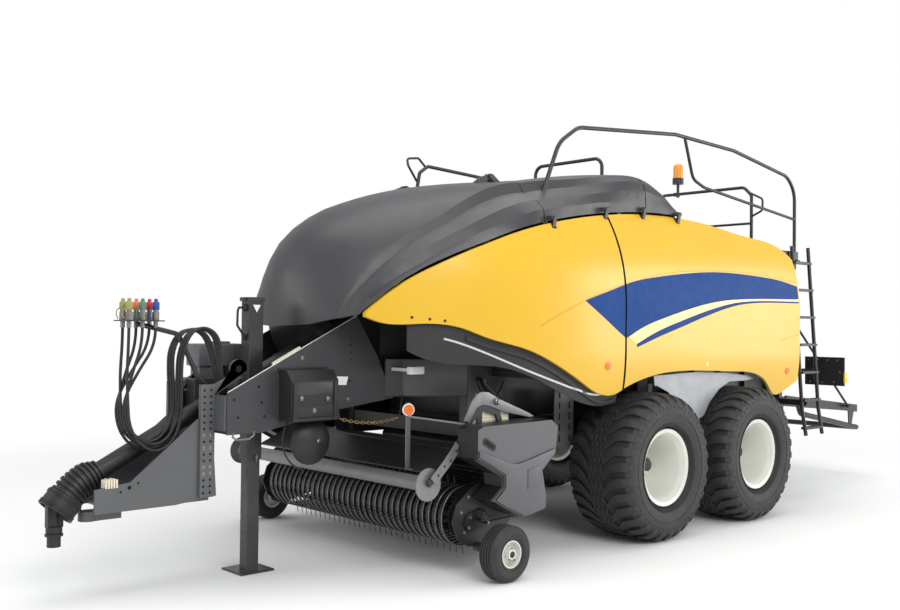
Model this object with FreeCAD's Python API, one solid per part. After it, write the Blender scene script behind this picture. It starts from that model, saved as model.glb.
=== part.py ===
"""Large square baler on tandem wheels, parked on its drawbar jack.

Millimetres. +X points to the tractor, +Y to the machine's left, +Z up, with the ground at Z = 0.
While the pieces are made, X counts from the front axle; every finished piece is then moved by
X_SHIFT, which puts the origin under the middle of the machine's length.
"""
import FreeCAD, Part
import math
import os
from FreeCAD import Vector as V

# ---- driving dimensions ------------------------------------------------------------------------
FRONT_REACH = 4430.0          # front axle to the tip of the drive shaft's guard
REAR_REACH = 4900.0           # front axle back to the outside of the chute's rear tube
X_SHIFT = (REAR_REACH - FRONT_REACH) / 2

# running gear
TYRE_DIA = 1190.0
TYRE_WIDTH = 620.0
RIM_DIA = 616.0
TRACK = 2340.0                # between tyre centres, left to right
AXLE_SPACING = 1385.0
HUB_RADIUS = 105.0
SPINDLE_RADIUS = 42.0
SPINDLE_CLEARANCE = 0.3

# body shell
SHELL_HALF_WIDTH = 1325.0
SHELL_TAPER_X = 400.0         # ahead of this the shell narrows towards its nose
NOSE_X = 2785.0
SHELL_BEND_Z = 1850.0         # above this the shell leans inwards
SHELL_LEAN = 221.0            # how far it has leaned in at SHELL_LEAN_Z above the bend
SHELL_LEAN_Z = 790.0
PANEL_THICK = 26.0
SEAM_GAP = 18.0               # between neighbouring panels
DOOR_SEAM_X = 400.0
DOOR_REAR_X = -2335.0
HOOD_REAR_X = 1150.0

# bale chamber
CHAMBER_WIDTH = 1200.0
CHAMBER_HEIGHT = 900.0
CHAMBER_FLOOR_Z = 1020.0
CHAMBER_WALL = 24.0
CHAMBER_FRONT_X = 1180.0
CHAMBER_REAR_X = -3080.0
RIB_COUNT = 6
RIB_PITCH = 450.0
RIB_WIDTH = 60.0
RIB_DEPTH = 40.0
CHAMBER_TOP_Z = CHAMBER_FLOOR_Z + CHAMBER_HEIGHT + CHAMBER_WALL

# walkway and cover
DECK_Z = 2400.0
DECK_THICK = 30.0
DECK_TOP_Z = DECK_Z + DECK_THICK
BOW_TOP_Z = 2500.0            # top of the bow under the cover's front edge

# main frame and drawbar
RAIL_INNER_Y = 655.0
RAIL_WIDTH = 90.0
RAIL_LOW_Z = 800.0
RAIL_HIGH_Z = 990.0
RAIL_FRONT_X = 1560.0
PLATE = 12.0
CHEEK_Y = 390.0               # outer face of the drawbar's side plates
TONGUE_Y = 215.0              # outer face of the narrow front part
TONGUE_SETBACK = 250.0        # tongue's front edge behind the drive shaft's tip
TONGUE_FRONT_X = FRONT_REACH - TONGUE_SETBACK
EYE_X = TONGUE_FRONT_X - 50
DRAWBAR_FRONT_X = 3380.0      # where the wide drawbar ends and the tongue begins
EYE_Z = 500.0
EYE_BORE = 25.5
EYE_OUTER = 58.0
EYE_HEIGHT = 60.0

# jack
JACK_SETBACK = 340.0          # jack behind the front of the wide drawbar
JACK_X = DRAWBAR_FRONT_X - JACK_SETBACK
JACK_Y = 130.0
JACK_LEG = 94.0
JACK_SLEEVE = 110.0
JACK_CLEARANCE = 0.5
JACK_TOP_Z = 1890.0
JACK_SLEEVE_LOW_Z = 780.0
JACK_FOOT = 265.0

# drive shaft
SHAFT_TIP_Z = 600.0
SHAFT_REAR_X = 2051.5         # where the axle enters the drive block
SHAFT_REAR_Z = 1823.1
SHAFT_TIP_X = FRONT_REACH - 38.9
SHAFT_LENGTH = math.hypot(SHAFT_TIP_X - SHAFT_REAR_X, SHAFT_REAR_Z - SHAFT_TIP_Z)
SHAFT_SLOPE = math.atan2(SHAFT_REAR_Z - SHAFT_TIP_Z, SHAFT_TIP_X - SHAFT_REAR_X)
GUARD_LENGTH = SHAFT_LENGTH - 940.0
SHAFT_GUARD_RADIUS = 58.0
YOKE_BORE = 22.5              # for a tractor's 44 mm stub shaft
YOKE_DEPTH = 90.0
YOKE_LOW_Z = 336.0             # the shaft is parked, so its front yoke hangs straight down
YOKE_RADIUS = 41.0
COLLAR_RADIUS = 120.0
COLLAR_LENGTH = 105.0
COLLAR_SLOPE = math.radians(50)
BEND_RADIUS = 450.0            # the front bellows bend down from the guard tube to the collar
BEND_RINGS = 6
WIDENING_RINGS = 3
RING_PITCH = 30.0
RING_RADIUS = 108.0
RIB_HEIGHT = 16.0

# pickup
PICKUP_HALF_WIDTH = 1175.0
REEL_X = 1900.0
REEL_Z = 388.0
BAND_RADIUS = 205.0
TINE_REACH = 285.0
TINE_PITCH = 66.0
TINE_COUNT = 32
TINE_BARS = 4
GAUGE_X = 1872.0
GAUGE_RADIUS = 190.0
GAUGE_WIDTH = 160.0
GAUGE_OUTER_Y = 1530.0
ROLLER_X = 2340.0
ROLLER_Z = 660.0
ROLLER_RADIUS = 50.0
ROLLER_DISC_RADIUS = 110.0

# bale chute
CHUTE_PIVOT_X = CHAMBER_REAR_X - 80
CHUTE_PIVOT_Z = 930.0
CHUTE_HALF_WIDTH = 700.0
CHUTE_END_X = 70 - REAR_REACH
CHUTE_END_Z = 790.0
CHUTE_ROLLERS = 7

# ---- helpers -----------------------------------------------------------------------------------


def block(x, y, z):
    """Box between pairs of faces."""
    return Part.makeBox(x[1] - x[0], y[1] - y[0], z[1] - z[0], V(x[0], y[0], z[0]))


def bar(start, end, radius):
    """Round bar between two points."""
    a, b = V(*start), V(*end)
    return Part.makeCylinder(radius, (b - a).Length, a, b - a)


def plate_y(outline, y0, y1):
    """Outline of (x, z) points, extruded from y0 to y1."""
    points = [V(x, y0, z) for x, z in outline]
    return Part.Face(Part.makePolygon(points + points[:1])).extrude(V(0, y1 - y0, 0))


def plate_x(outline, x0, x1):
    """Outline of (y, z) points, extruded from x0 to x1."""
    points = [V(x0, y, z) for y, z in outline]
    return Part.Face(Part.makePolygon(points + points[:1])).extrude(V(x1 - x0, 0, 0))


def plate_z(outline, z0, z1):
    """Outline of (x, y) points, extruded from z0 to z1."""
    points = [V(x, y, z0) for x, y in outline]
    return Part.Face(Part.makePolygon(points + points[:1])).extrude(V(0, 0, z1 - z0))


def strip_y(line, width, y0, y1):
    """Strip of a width along a line of (x, z) points, extruded from y0 to y1."""
    points = [V(x, 0, z) for x, z in line]
    runs = [(b - a).normalize() for a, b in zip(points, points[1:])]
    left, right = [], []
    for i, p in enumerate(points):
        before, after = runs[max(0, i - 1)], runs[min(i, len(runs) - 1)]
        normal = (before + after).normalize().cross(V(0, 1, 0))
        reach = width / 2 / max(0.5, normal.dot(after.cross(V(0, 1, 0))))
        left.append((p.x + normal.x * reach, p.z + normal.z * reach))
        right.append((p.x - normal.x * reach, p.z - normal.z * reach))
    return plate_y(left + right[::-1], y0, y1)


def turned(profile, x, z):
    """Closed profile of (radius, y) points turned about the Y axis through (x, z)."""
    points = [V(x, y, z + r) for r, y in profile]
    return Part.Face(Part.makePolygon(points + points[:1])).revolve(V(x, 0, z), V(0, 1, 0), 360)


def join(*pieces):
    """Boolean sum of all pieces."""
    flat = [p for piece in pieces for p in (piece if isinstance(piece, list) else [piece])]
    return flat[0] if len(flat) == 1 else flat[0].multiFuse(flat[1:])


def mirrored(shape):
    """The same shape on the machine's other side."""
    return shape.mirror(V(0, 0, 0), V(0, 1, 0))


def both_sides(*pieces):
    """Pieces of the left side with their mirror images."""
    return list(pieces) + [mirrored(p) for p in pieces]


def path(points, bend=None):
    """Straight runs joined by tangent arcs. Without a bend radius, arcs are as large as fits."""
    points = [V(*p) for p in points]
    edges, radii, start = [], [], points[0]
    for before, corner, after in zip(points, points[1:], points[2:]):
        to_a, to_b = (before - corner), (after - corner)
        shorter = min(to_a.Length, to_b.Length)
        to_a.normalize()
        to_b.normalize()
        half_turn = (math.pi - to_a.getAngle(to_b)) / 2
        radius = bend if bend else 0.45 * shorter / math.tan(half_turn)
        cut_back = radius * math.tan(half_turn)
        a, b = corner + to_a * cut_back, corner + to_b * cut_back
        centre = corner + (to_a + to_b).normalize() * (radius / math.cos(half_turn))
        middle = centre + (corner - centre).normalize() * radius
        edges += [Part.LineSegment(start, a).toShape(), Part.Arc(a, middle, b).toShape()]
        radii.append(radius)
        start = b
    edges.append(Part.LineSegment(start, points[-1]).toShape())
    return Part.Wire(edges), radii


def bent_tube(points, radius, bend=None):
    """Round tube or bar along a bent path."""
    wire, _ = path(points, bend)
    direction = V(*points[1]) - V(*points[0])
    ring = Part.Wire(Part.makeCircle(radius, V(*points[0]), direction))
    return wire.makePipeShell([ring], True, True)


def save(node, shape):
    """Write one sub-part, moved into the part's own frame."""
    moved = shape.copy()
    moved.translate(V(X_SHIFT, 0, 0))
    moved.exportStep("parts/%s.step" % node)


# ---- wheels and running gear -------------------------------------------------------------------
HUB_Z = TYRE_DIA / 2
WHEEL_Y = TRACK / 2
TYRE_INNER_Y = WHEEL_Y - TYRE_WIDTH / 2
TYRE_OUTER_Y = WHEEL_Y + TYRE_WIDTH / 2
AXLE_STATIONS = (("front", 0.0), ("rear", -AXLE_SPACING))
RIM_WALL = 10.0
BEAD_CLEARANCE = 0.3
DISC_Y = WHEEL_Y - 40.0       # plane where the rim's disc meets the hub
HUB_FACE_Y = DISC_Y + 60.0


def tyre(x):
    r, w = TYRE_DIA / 2, TYRE_WIDTH / 2
    seat = RIM_DIA / 2 - 22 + BEAD_CLEARANCE
    lip = RIM_DIA / 2 + 4
    profile = [(seat, -w + 78), (lip, -w + 78), (lip + 34, -w + 25), (r - 150, -w), (r - 60, -w + 8),
               (r - 18, -w + 45), (r, -w + 110), (r, w - 110), (r - 18, w - 45), (r - 60, w - 8),
               (r - 150, w), (lip + 34, w - 25), (lip, w - 78), (seat, w - 78)]
    return turned([(radius, WHEEL_Y + y) for radius, y in profile], x, HUB_Z)


def rim(x):
    """Deep-dished rim: barrel, two flanges, disc and hub cap."""
    seat, w = RIM_DIA / 2 - 22, TYRE_WIDTH / 2
    barrel = [(seat, -w + 76), (seat, w - 76), (RIM_DIA / 2, w - 62), (RIM_DIA / 2, w - 52),
              (seat - 8, w - 60), (seat - 34, w - 110), (seat - 34, -w + 110), (seat - 8, -w + 60),
              (RIM_DIA / 2, -w + 52), (RIM_DIA / 2, -w + 62)]
    shell = turned([(r, WHEEL_Y + y) for r, y in barrel], x, HUB_Z)
    disc = turned([(HUB_RADIUS - 25, DISC_Y), (HUB_RADIUS + 30, DISC_Y), (seat - 90, DISC_Y - 62),
                   (seat - 30, DISC_Y - 62), (seat - 30, DISC_Y - 50), (seat - 96, DISC_Y - 50),
                   (HUB_RADIUS + 34, DISC_Y + 12), (HUB_RADIUS - 25, DISC_Y + 12)], x, HUB_Z)
    return join(shell, disc)


def hub(x):
    """Hub that carries the rim and turns on the spindle; blind at the outer end."""
    bore = SPINDLE_RADIUS + SPINDLE_CLEARANCE
    inner_y = TYRE_INNER_Y + 60
    return turned([(bore, inner_y), (HUB_RADIUS - 10, inner_y), (HUB_RADIUS - 10, DISC_Y - 12),
                   (HUB_RADIUS + 45, DISC_Y - 12), (HUB_RADIUS + 45, DISC_Y), (HUB_RADIUS - 26, DISC_Y),
                   (HUB_RADIUS - 26, HUB_FACE_Y - 12), (HUB_RADIUS - 40, HUB_FACE_Y), (0, HUB_FACE_Y),
                   (0, HUB_FACE_Y - 40), (bore, HUB_FACE_Y - 40)], x, HUB_Z)


def running_gear():
    """Rocker beam each side, swung on a cross tube under the frame, with four spindles."""
    beam_y = (TYRE_INNER_Y - 72, TYRE_INNER_Y - 10)
    middle_x = -AXLE_SPACING / 2
    outline = [(95, HUB_Z - 70), (110, HUB_Z), (70, HUB_Z + 80), (middle_x + 190, HUB_Z + 190),
               (middle_x - 190, HUB_Z + 190), (-AXLE_SPACING - 70, HUB_Z + 80),
               (-AXLE_SPACING - 110, HUB_Z), (-AXLE_SPACING - 95, HUB_Z - 70),
               (middle_x - 160, HUB_Z + 10), (middle_x + 160, HUB_Z + 10)]
    left = [plate_y(outline, *beam_y)]
    for _, x in AXLE_STATIONS:
        left.append(bar((x, beam_y[0], HUB_Z), (x, HUB_FACE_Y - 45, HUB_Z), SPINDLE_RADIUS))
        left.append(bar((x, beam_y[0], HUB_Z), (x, TYRE_INNER_Y + 50, HUB_Z), SPINDLE_RADIUS + 28))
    cross = block((middle_x - 75, middle_x + 75), (-beam_y[1], beam_y[1]), (HUB_Z + 55, RAIL_LOW_Z))
    return join(cross, both_sides(*left))


# ---- frame -------------------------------------------------------------------------------------
RAIL_OUTER_Y = RAIL_INNER_Y + RAIL_WIDTH


def main_frame():
    """Two box rails with cross members that the bale chamber stands on."""
    rail = block((CHAMBER_REAR_X, RAIL_FRONT_X), (RAIL_INNER_Y, RAIL_OUTER_Y), (RAIL_LOW_Z, RAIL_HIGH_Z))
    pieces = both_sides(rail)
    z = (RAIL_HIGH_Z - 110, RAIL_HIGH_Z)
    for x in (RAIL_FRONT_X - 60, 620, -AXLE_SPACING / 2, -1750, CHAMBER_REAR_X + 60):
        pieces.append(block((x - 50, x + 50), (-RAIL_INNER_Y, RAIL_INNER_Y), z))
    return join(*pieces)


def chamber_floor_and_roof():
    """Floor and roof of the bale tunnel, which is open at the rear."""
    x, outer_y = (CHAMBER_REAR_X, CHAMBER_FRONT_X), CHAMBER_WIDTH / 2 + CHAMBER_WALL
    floor = block(x, (-outer_y, outer_y), (RAIL_HIGH_Z, CHAMBER_FLOOR_Z))
    roof = block(x, (-outer_y, outer_y), (CHAMBER_TOP_Z - CHAMBER_WALL, CHAMBER_TOP_Z))
    return Part.makeCompound([floor, roof])


def chamber_wall():
    """Left wall of the bale tunnel, with stiffening ribs outside."""
    inner_y, outer_y = CHAMBER_WIDTH / 2, CHAMBER_WIDTH / 2 + CHAMBER_WALL
    z = (CHAMBER_FLOOR_Z, CHAMBER_TOP_Z - CHAMBER_WALL)
    wall = block((CHAMBER_REAR_X, CHAMBER_FRONT_X), (inner_y, outer_y), z)
    rib_y, rib_z = (inner_y, outer_y + RIB_DEPTH), (z[0] + 60, z[1] - 20)
    ribs = []
    for i in range(RIB_COUNT):
        rib = CHAMBER_REAR_X + 130 + RIB_PITCH * i
        ribs.append(block((rib, rib + RIB_WIDTH), rib_y, rib_z))
    return join(wall, *ribs)


def chamber_front():
    """Plate that closes the tunnel's front, behind the gearbox."""
    half = CHAMBER_WIDTH / 2
    return block((CHAMBER_FRONT_X - CHAMBER_WALL, CHAMBER_FRONT_X + 5), (-half, half),
                 (CHAMBER_FLOOR_Z, CHAMBER_TOP_Z - CHAMBER_WALL))


def frame_uprights():
    """Slotted plates that brace the side panels ahead of the wheels."""
    y = TYRE_INNER_Y - 23
    plate = block((470, 700), (y, y + PLATE), (760, 1215))
    for z in (800, 880, 960, 1040, 1120):
        for x in (500, 590):
            plate = plate.cut(block((x, x + 60), (y - 10, y + PLATE + 10), (z, z + 45)))
    arm = block((600, 690), (RAIL_OUTER_Y, y + 2), (870, 950))
    return join(*both_sides(plate.fuse(arm)))


FLOOR_TOP_Z = 1010.0
CHEEK_OUTLINE = [(DRAWBAR_FRONT_X, 1260), (2330, 1780), (2140, 1490), (1980, 1170), (2470, 1110),
                 (3120, 985), (DRAWBAR_FRONT_X, 985)]
FLARE_BACK_X = 1500.0


def drawbar_frame():
    """Side cheeks of the drawbar, flared out at the back to meet the main rails."""
    cheek = plate_y(CHEEK_OUTLINE, CHEEK_Y - PLATE, CHEEK_Y)
    high = 1460.0
    flare = plate_z([(2060, CHEEK_Y - PLATE), (2060, CHEEK_Y), (FLARE_BACK_X + 40, RAIL_OUTER_Y),
                     (FLARE_BACK_X, RAIL_OUTER_Y), (FLARE_BACK_X, RAIL_OUTER_Y - PLATE)], 1185, high)
    foot = block((FLARE_BACK_X, FLARE_BACK_X + 55), (RAIL_INNER_Y, RAIL_OUTER_Y), (RAIL_HIGH_Z, high))
    side_plate = block((CHAMBER_FRONT_X + 2, FLARE_BACK_X), (RAIL_OUTER_Y - PLATE, RAIL_OUTER_Y),
                       (RAIL_HIGH_Z, high))
    inner_y = (-CHEEK_Y + PLATE, CHEEK_Y - PLATE)
    cross_low = block((2080, 2200), inner_y, (1180, 1290))
    cross_top = block((2280, 2350), inner_y, (1490, 1550))
    floor = plate_y([(DRAWBAR_FRONT_X, 990), (DRAWBAR_FRONT_X, FLOOR_TOP_Z), (3120, FLOOR_TOP_Z), (2470, 1130),
                     (2470, 1112), (3120, 990)], *inner_y)
    room = JACK_SLEEVE / 2 + 8
    floor = floor.cut(block((JACK_X - room, JACK_X + room), (JACK_Y - room, JACK_Y + room), (900, 1200)))
    return join(both_sides(cheek, flare, foot, side_plate), cross_low, cross_top, floor)


def drawbar_tongue():
    """Narrow front part: two tapered cheeks, floor, perforated end plates and the ring's block."""
    start = DRAWBAR_FRONT_X + 1
    cheek = plate_y([(TONGUE_FRONT_X, 540), (TONGUE_FRONT_X, 690), (TONGUE_FRONT_X - 230, 715), (3490, 1085),
                     (3440, 1085), (start, 1015), (start, 985), (3350, 570), (3650, 540)],
                    TONGUE_Y - PLATE, TONGUE_Y)
    strip = block((start, 3488), (TONGUE_Y, TONGUE_Y + 22), (580, 1310))
    for z in range(610, 1300, 70):
        for x in (start + 24, 3462):
            strip = strip.cut(bar((x, TONGUE_Y - 5, z), (x, TONGUE_Y + 30, z), 14))
    link = block((start - 19, start + 11), (TONGUE_Y + 20, CHEEK_Y - PLATE), (FLOOR_TOP_Z + 0.3, 1240))
    floor = block((3400, EYE_X - 75), (-TONGUE_Y + PLATE, TONGUE_Y - PLATE), (545, 560))
    nose = block((EYE_X - 190, EYE_X - 75), (-55, 55), (EYE_Z + EYE_HEIGHT / 2 - 1, 548))
    back = block((3400, 3412), (-TONGUE_Y + PLATE, TONGUE_Y - PLATE), (560, 1000))
    return join(both_sides(cheek, strip, link), floor, nose, back, hitch_ring())


def hitch_ring():
    """Drawbar eye with an upright bore, on a short shank under the tongue's nose."""
    ring = bar((EYE_X, 0, EYE_Z - EYE_HEIGHT / 2), (EYE_X, 0, EYE_Z + EYE_HEIGHT / 2), EYE_OUTER)
    shank = block((EYE_X - 200, EYE_X - 30), (-50, 50), (EYE_Z - EYE_HEIGHT / 2, EYE_Z + EYE_HEIGHT / 2))
    bore = bar((EYE_X, 0, EYE_Z - EYE_HEIGHT), (EYE_X, 0, EYE_Z + EYE_HEIGHT), EYE_BORE)
    return ring.fuse(shank).cut(bore)


# ---- jack --------------------------------------------------------------------------------------


def jack_sleeve():
    half = JACK_SLEEVE / 2
    bore = JACK_LEG / 2 + JACK_CLEARANCE
    x, y = (JACK_X - half, JACK_X + half), (JACK_Y - half, JACK_Y + half)
    tube = block(x, y, (JACK_SLEEVE_LOW_Z, JACK_TOP_Z))
    hollow = block((JACK_X - bore, JACK_X + bore), (JACK_Y - bore, JACK_Y + bore),
                   (JACK_SLEEVE_LOW_Z - 1, JACK_TOP_Z - 12))
    bracket = block((JACK_X - 45, JACK_X + 45), (y[1] - 2, CHEEK_Y - PLATE), (1040, 1200))
    return join(tube, bracket).cut(hollow)


def jack_leg():
    half = JACK_LEG / 2
    leg = block((JACK_X - half, JACK_X + half), (JACK_Y - half, JACK_Y + half), (14, JACK_TOP_Z - 440))
    x, y = JACK_X - 30, JACK_Y - 60
    foot = block((x - JACK_FOOT / 2, x + JACK_FOOT / 2), (y - JACK_FOOT / 2, y + JACK_FOOT / 2), (0, 14))
    return join(leg, foot)


# ---- drive line --------------------------------------------------------------------------------


def on_shaft(distance, offset=0.0):
    """Point on the drive shaft's axis, a distance back from its front tip."""
    x = SHAFT_TIP_X - distance * math.cos(SHAFT_SLOPE)
    z = SHAFT_TIP_Z + distance * math.sin(SHAFT_SLOPE) + offset
    return (x, 0, z)


def sloping(slope):
    """Unit vectors along a line that falls forward at a slope, and square to it, down and back."""
    return V(math.cos(slope), 0, -math.sin(slope)), V(-math.sin(slope), 0, -math.cos(slope))


def pto_guard():
    """Smooth guard tube with ribbed bellows at each end, and a wide collar around the front yoke."""
    bend_reach = BEND_RADIUS * (math.sin(COLLAR_SLOPE) - math.sin(SHAFT_SLOPE))
    mouth_x = FRONT_REACH - COLLAR_RADIUS * math.sin(COLLAR_SLOPE)
    bend_x = mouth_x - COLLAR_LENGTH * math.cos(COLLAR_SLOPE) - bend_reach
    bend_at = (on_shaft(0)[0] - bend_x) / math.cos(SHAFT_SLOPE)
    ahead, inward = sloping(SHAFT_SLOPE)
    start = V(*on_shaft(bend_at))
    middle = start + inward * BEND_RADIUS
    core = Part.Face(Part.Wire(Part.makeCircle(RING_RADIUS - RIB_HEIGHT, start, ahead)))
    pieces = [core.revolve(middle, V(0, 1, 0), math.degrees(COLLAR_SLOPE - SHAFT_SLOPE))]
    pieces.append(bar(on_shaft(bend_at - 5), on_shaft(GUARD_LENGTH), SHAFT_GUARD_RADIUS))
    for i in range(WIDENING_RINGS):
        low = bend_at + RING_PITCH * i
        radius = RING_RADIUS - (RING_RADIUS - SHAFT_GUARD_RADIUS) * (i + 1) / (WIDENING_RINGS + 1)
        pieces.append(bar(on_shaft(low - 1), on_shaft(low + RING_PITCH), radius - RIB_HEIGHT / 2))
        pieces.append(bar(on_shaft(low + 8), on_shaft(low + 22), radius + RIB_HEIGHT / 2))
    for i in range(BEND_RINGS):
        ahead, inward = sloping(SHAFT_SLOPE + (COLLAR_SLOPE - SHAFT_SLOPE) * (i + 0.5) / BEND_RINGS)
        ring = middle - inward * BEND_RADIUS
        pieces.append(bar(ring - ahead * 7, ring + ahead * 7, RING_RADIUS))
    ahead, inward = sloping(COLLAR_SLOPE)
    neck = middle - inward * BEND_RADIUS
    mouth = neck + ahead * COLLAR_LENGTH
    pieces.append(bar(neck - ahead * 6, mouth, COLLAR_RADIUS - 6))
    for low in (4, 16, COLLAR_LENGTH - 32, COLLAR_LENGTH - 20, COLLAR_LENGTH - 8):
        pieces.append(bar(neck + ahead * low, neck + ahead * (low + 6), COLLAR_RADIUS))
    for i in range(6):
        radius = SHAFT_GUARD_RADIUS - 7 + 3 * i
        low = GUARD_LENGTH - 410 + 44 * i
        pieces.append(bar(on_shaft(low), on_shaft(low + 22), radius))
        pieces.append(bar(on_shaft(low + 20), on_shaft(low + 46), radius - 16))
    hollow = bar(neck + ahead * 40, mouth + ahead * 5, COLLAR_RADIUS - 18)
    return join(join(*pieces).cut(hollow), *front_yoke(mouth)).cut(yoke_bore(mouth))


def front_yoke(mouth):
    """The yoke that fits the tractor's stub, with its joint cross above, hanging straight down."""
    x, z = mouth.x, YOKE_LOW_Z
    stem = bar((x, 0, mouth.z + 85), (x, 0, z + 60), 30)
    sleeve = bar((x, 0, z + 100), (x, 0, z), YOKE_RADIUS)
    collar = bar((x, 0, z + 66), (x, 0, z + 80), YOKE_RADIUS + 13)
    shoulder = bar((x, 0, z + 90), (x, 0, z + 124), YOKE_RADIUS + 8)
    fork = block((x - 48, x + 48), (-24, 24), (z + 120, mouth.z + 50))
    return stem, sleeve, collar, shoulder, fork


def yoke_bore(mouth):
    return bar((mouth.x, 0, YOKE_LOW_Z - 5), (mouth.x, 0, YOKE_LOW_Z + YOKE_DEPTH), YOKE_BORE)


def flywheel():
    axle = bar(on_shaft(GUARD_LENGTH + 0.5), on_shaft(SHAFT_LENGTH), 38)
    return join(bar(on_shaft(SHAFT_LENGTH - 580), on_shaft(SHAFT_LENGTH - 450), 330), axle)


def main_gearbox():
    """The closed drive block under the hood, with the crank housing against the chamber's front."""
    crank = block((CHAMBER_FRONT_X + 0.3, 1500), (-420, 420), (1450, 2300))
    return join(block((1200, 2060), (-320, 320), (1300, 2150)), crank)


# ---- body shell --------------------------------------------------------------------------------
WAIST = [(-2450, 2230), (-2335, 2400), (-2200, 2490), (-1700, 2575), (-1100, 2650), (-560, 2680),
         (-60, 2665), (400, 2620), (960, 2530), (1360, 2435), (1750, 2300), (2060, 2160), (2330, 1990),
         (2500, 1800), (2560, 1700)]
DOOR_LOW_FRONT = [(2600, 1790), (2490, 1765), (2440, 1738), (2200, 1725), (1920, 1690), (1790, 1640),
                  (1450, 1550), (1200, 1450), (920, 1310), (690, 1205), (560, 1185), (400, 1230)]
DOOR_LOW_REAR = [(400, 1230), (90, 1315), (-210, 1350), (-680, 1352), (-1190, 1332), (-1560, 1300),
                 (-1750, 1225), (-1950, 1095), (-2150, 1140), (-2400, 1230)]


def shell_y(x, z):
    """Half width of the body shell at a station and height."""
    lean = SHELL_LEAN * (max(0.0, z - SHELL_BEND_Z) / SHELL_LEAN_Z) ** 2.35
    tuck = 30 * (max(0.0, 1540 - z) / 340) ** 2
    taper = min(1.0, max(0.0, (x - SHELL_TAPER_X) / (NOSE_X - SHELL_TAPER_X)))
    return SHELL_HALF_WIDTH * math.sqrt(1 - taper ** 2.6) - lean - tuck


def spline(points):
    curve = Part.BSplineCurve()
    curve.interpolate(points)
    return curve.toShape()


def shell_skin(stations, z_low, z_high, inset, thick):
    """Curved sheet of the left side, lofted through upright sections."""
    wires = []
    heights = [z_low + (z_high - z_low) * i / 8 for i in range(9)]
    for x in stations:
        slope = (shell_y(x - 5, 1700) - shell_y(x + 5, 1700)) / 10
        turn = math.sqrt(1 + slope ** 2)
        outer = [V(x, shell_y(x, z) - inset * turn, z) for z in heights]
        inner = [p - V(0, thick * turn, 0) for p in outer]
        wires.append(Part.Wire([spline(outer), Part.LineSegment(outer[-1], inner[-1]).toShape(),
                                spline(inner[::-1]), Part.LineSegment(inner[0], outer[0]).toShape()]))
    return Part.makeLoft(wires, True, False)


def side_outline(upper, lower, x_rear, x_front):
    """Solid that holds what lies between two curves of (x, z) points, for trimming a skin."""
    top = spline([V(x, 0, z) for x, z in upper])
    bottom = spline([V(x, 0, z) for x, z in lower])
    ends = [Part.LineSegment(top.Vertexes[-1].Point, bottom.Vertexes[0].Point).toShape(),
            Part.LineSegment(bottom.Vertexes[-1].Point, top.Vertexes[0].Point).toShape()]
    face = Part.Face(Part.Wire([top, ends[0], bottom, ends[1]]))
    slab = face.extrude(V(0, 1500, 0))
    return slab.common(block((x_rear, x_front), (0, 1500), (0, 4000)))


def shifted(points, dz):
    return [(x, z + dz) for x, z in points]


SHELL_STATIONS_FRONT = (380, 700, 1000, 1250, 1500, 1750, 1950, 2120, 2270, 2400, 2500)
HINGE_RADIUS = 9.0
HINGE_CLEARANCE = 0.3
# front doors lift on a line that follows the seam; rear doors on a level one
HINGE_LINES = {"front": ((430, 1142, 2655), (1090, 1174, 2533)),
               "rear": ((-90, 1128, 2700), (-590, 1128, 2700))}


def hinge_eye(which, end):
    """Knuckle on a door's hinge line, the hole through it, and its centre."""
    a, b = (V(*p) for p in HINGE_LINES[which])
    along = (b - a).normalize()
    base = b if end else a
    eye = Part.makeCylinder(HINGE_RADIUS + 7, 36, base - along * 18, along)
    hole = Part.makeCylinder(HINGE_RADIUS + HINGE_CLEARANCE, 60, base - along * 30, along)
    return eye, hole, base


def hinge_pin(which, end):
    """Fixed pin through a door's knuckle, held by an ear at each side of it."""
    a, b = (V(*p) for p in HINGE_LINES[which])
    along = (b - a).normalize()
    base = b if end else a
    pin = Part.makeCylinder(HINGE_RADIUS, 64, base - along * 32, along)
    ears = [block((base.x + x, base.x + x + 8), (base.y - 62, base.y + 9), (base.z - 14, base.z + 11))
            for x in (-31, 23)]
    return join(pin, *ears)


def front_door():
    skin = shell_skin(SHELL_STATIONS_FRONT, 1100, 2720, 0, PANEL_THICK)
    low = DOOR_LOW_FRONT
    trim = side_outline(shifted(WAIST, -SEAM_GAP / 2), low, DOOR_SEAM_X + SEAM_GAP / 2, 2496)
    panel = skin.common(trim)
    for end in (0, 1):
        eye, pin, base = hinge_eye("front", end)
        strap = plate_x([(base.y + 3, base.z - 10), (base.y + 14, base.z - 6), (base.y + 2, base.z - 75),
                         (base.y - 34, base.z - 75), (base.y - 20, base.z - 40)], base.x - 17, base.x + 17)
        panel = panel.fuse(eye).fuse(strap).cut(pin)
    return panel


def rear_door():
    stations = (-2400, -1900, -1300, -700, -100, DOOR_SEAM_X)
    skin = shell_skin(stations, 1050, 2740, 0, PANEL_THICK)
    trim = side_outline(shifted(WAIST, -SEAM_GAP / 2), DOOR_LOW_REAR, DOOR_REAR_X, DOOR_SEAM_X - SEAM_GAP / 2)
    panel = skin.common(trim)
    for end in (0, 1):
        eye, pin, base = hinge_eye("rear", end)
        strap = plate_x([(base.y + 3, base.z - 10), (base.y + 14, base.z - 6), (base.y - 4, base.z - 82),
                         (base.y - 40, base.z - 82), (base.y - 22, base.z - 46)], base.x - 17, base.x + 17)
        panel = panel.fuse(eye).fuse(strap).cut(pin)
    return panel


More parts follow.
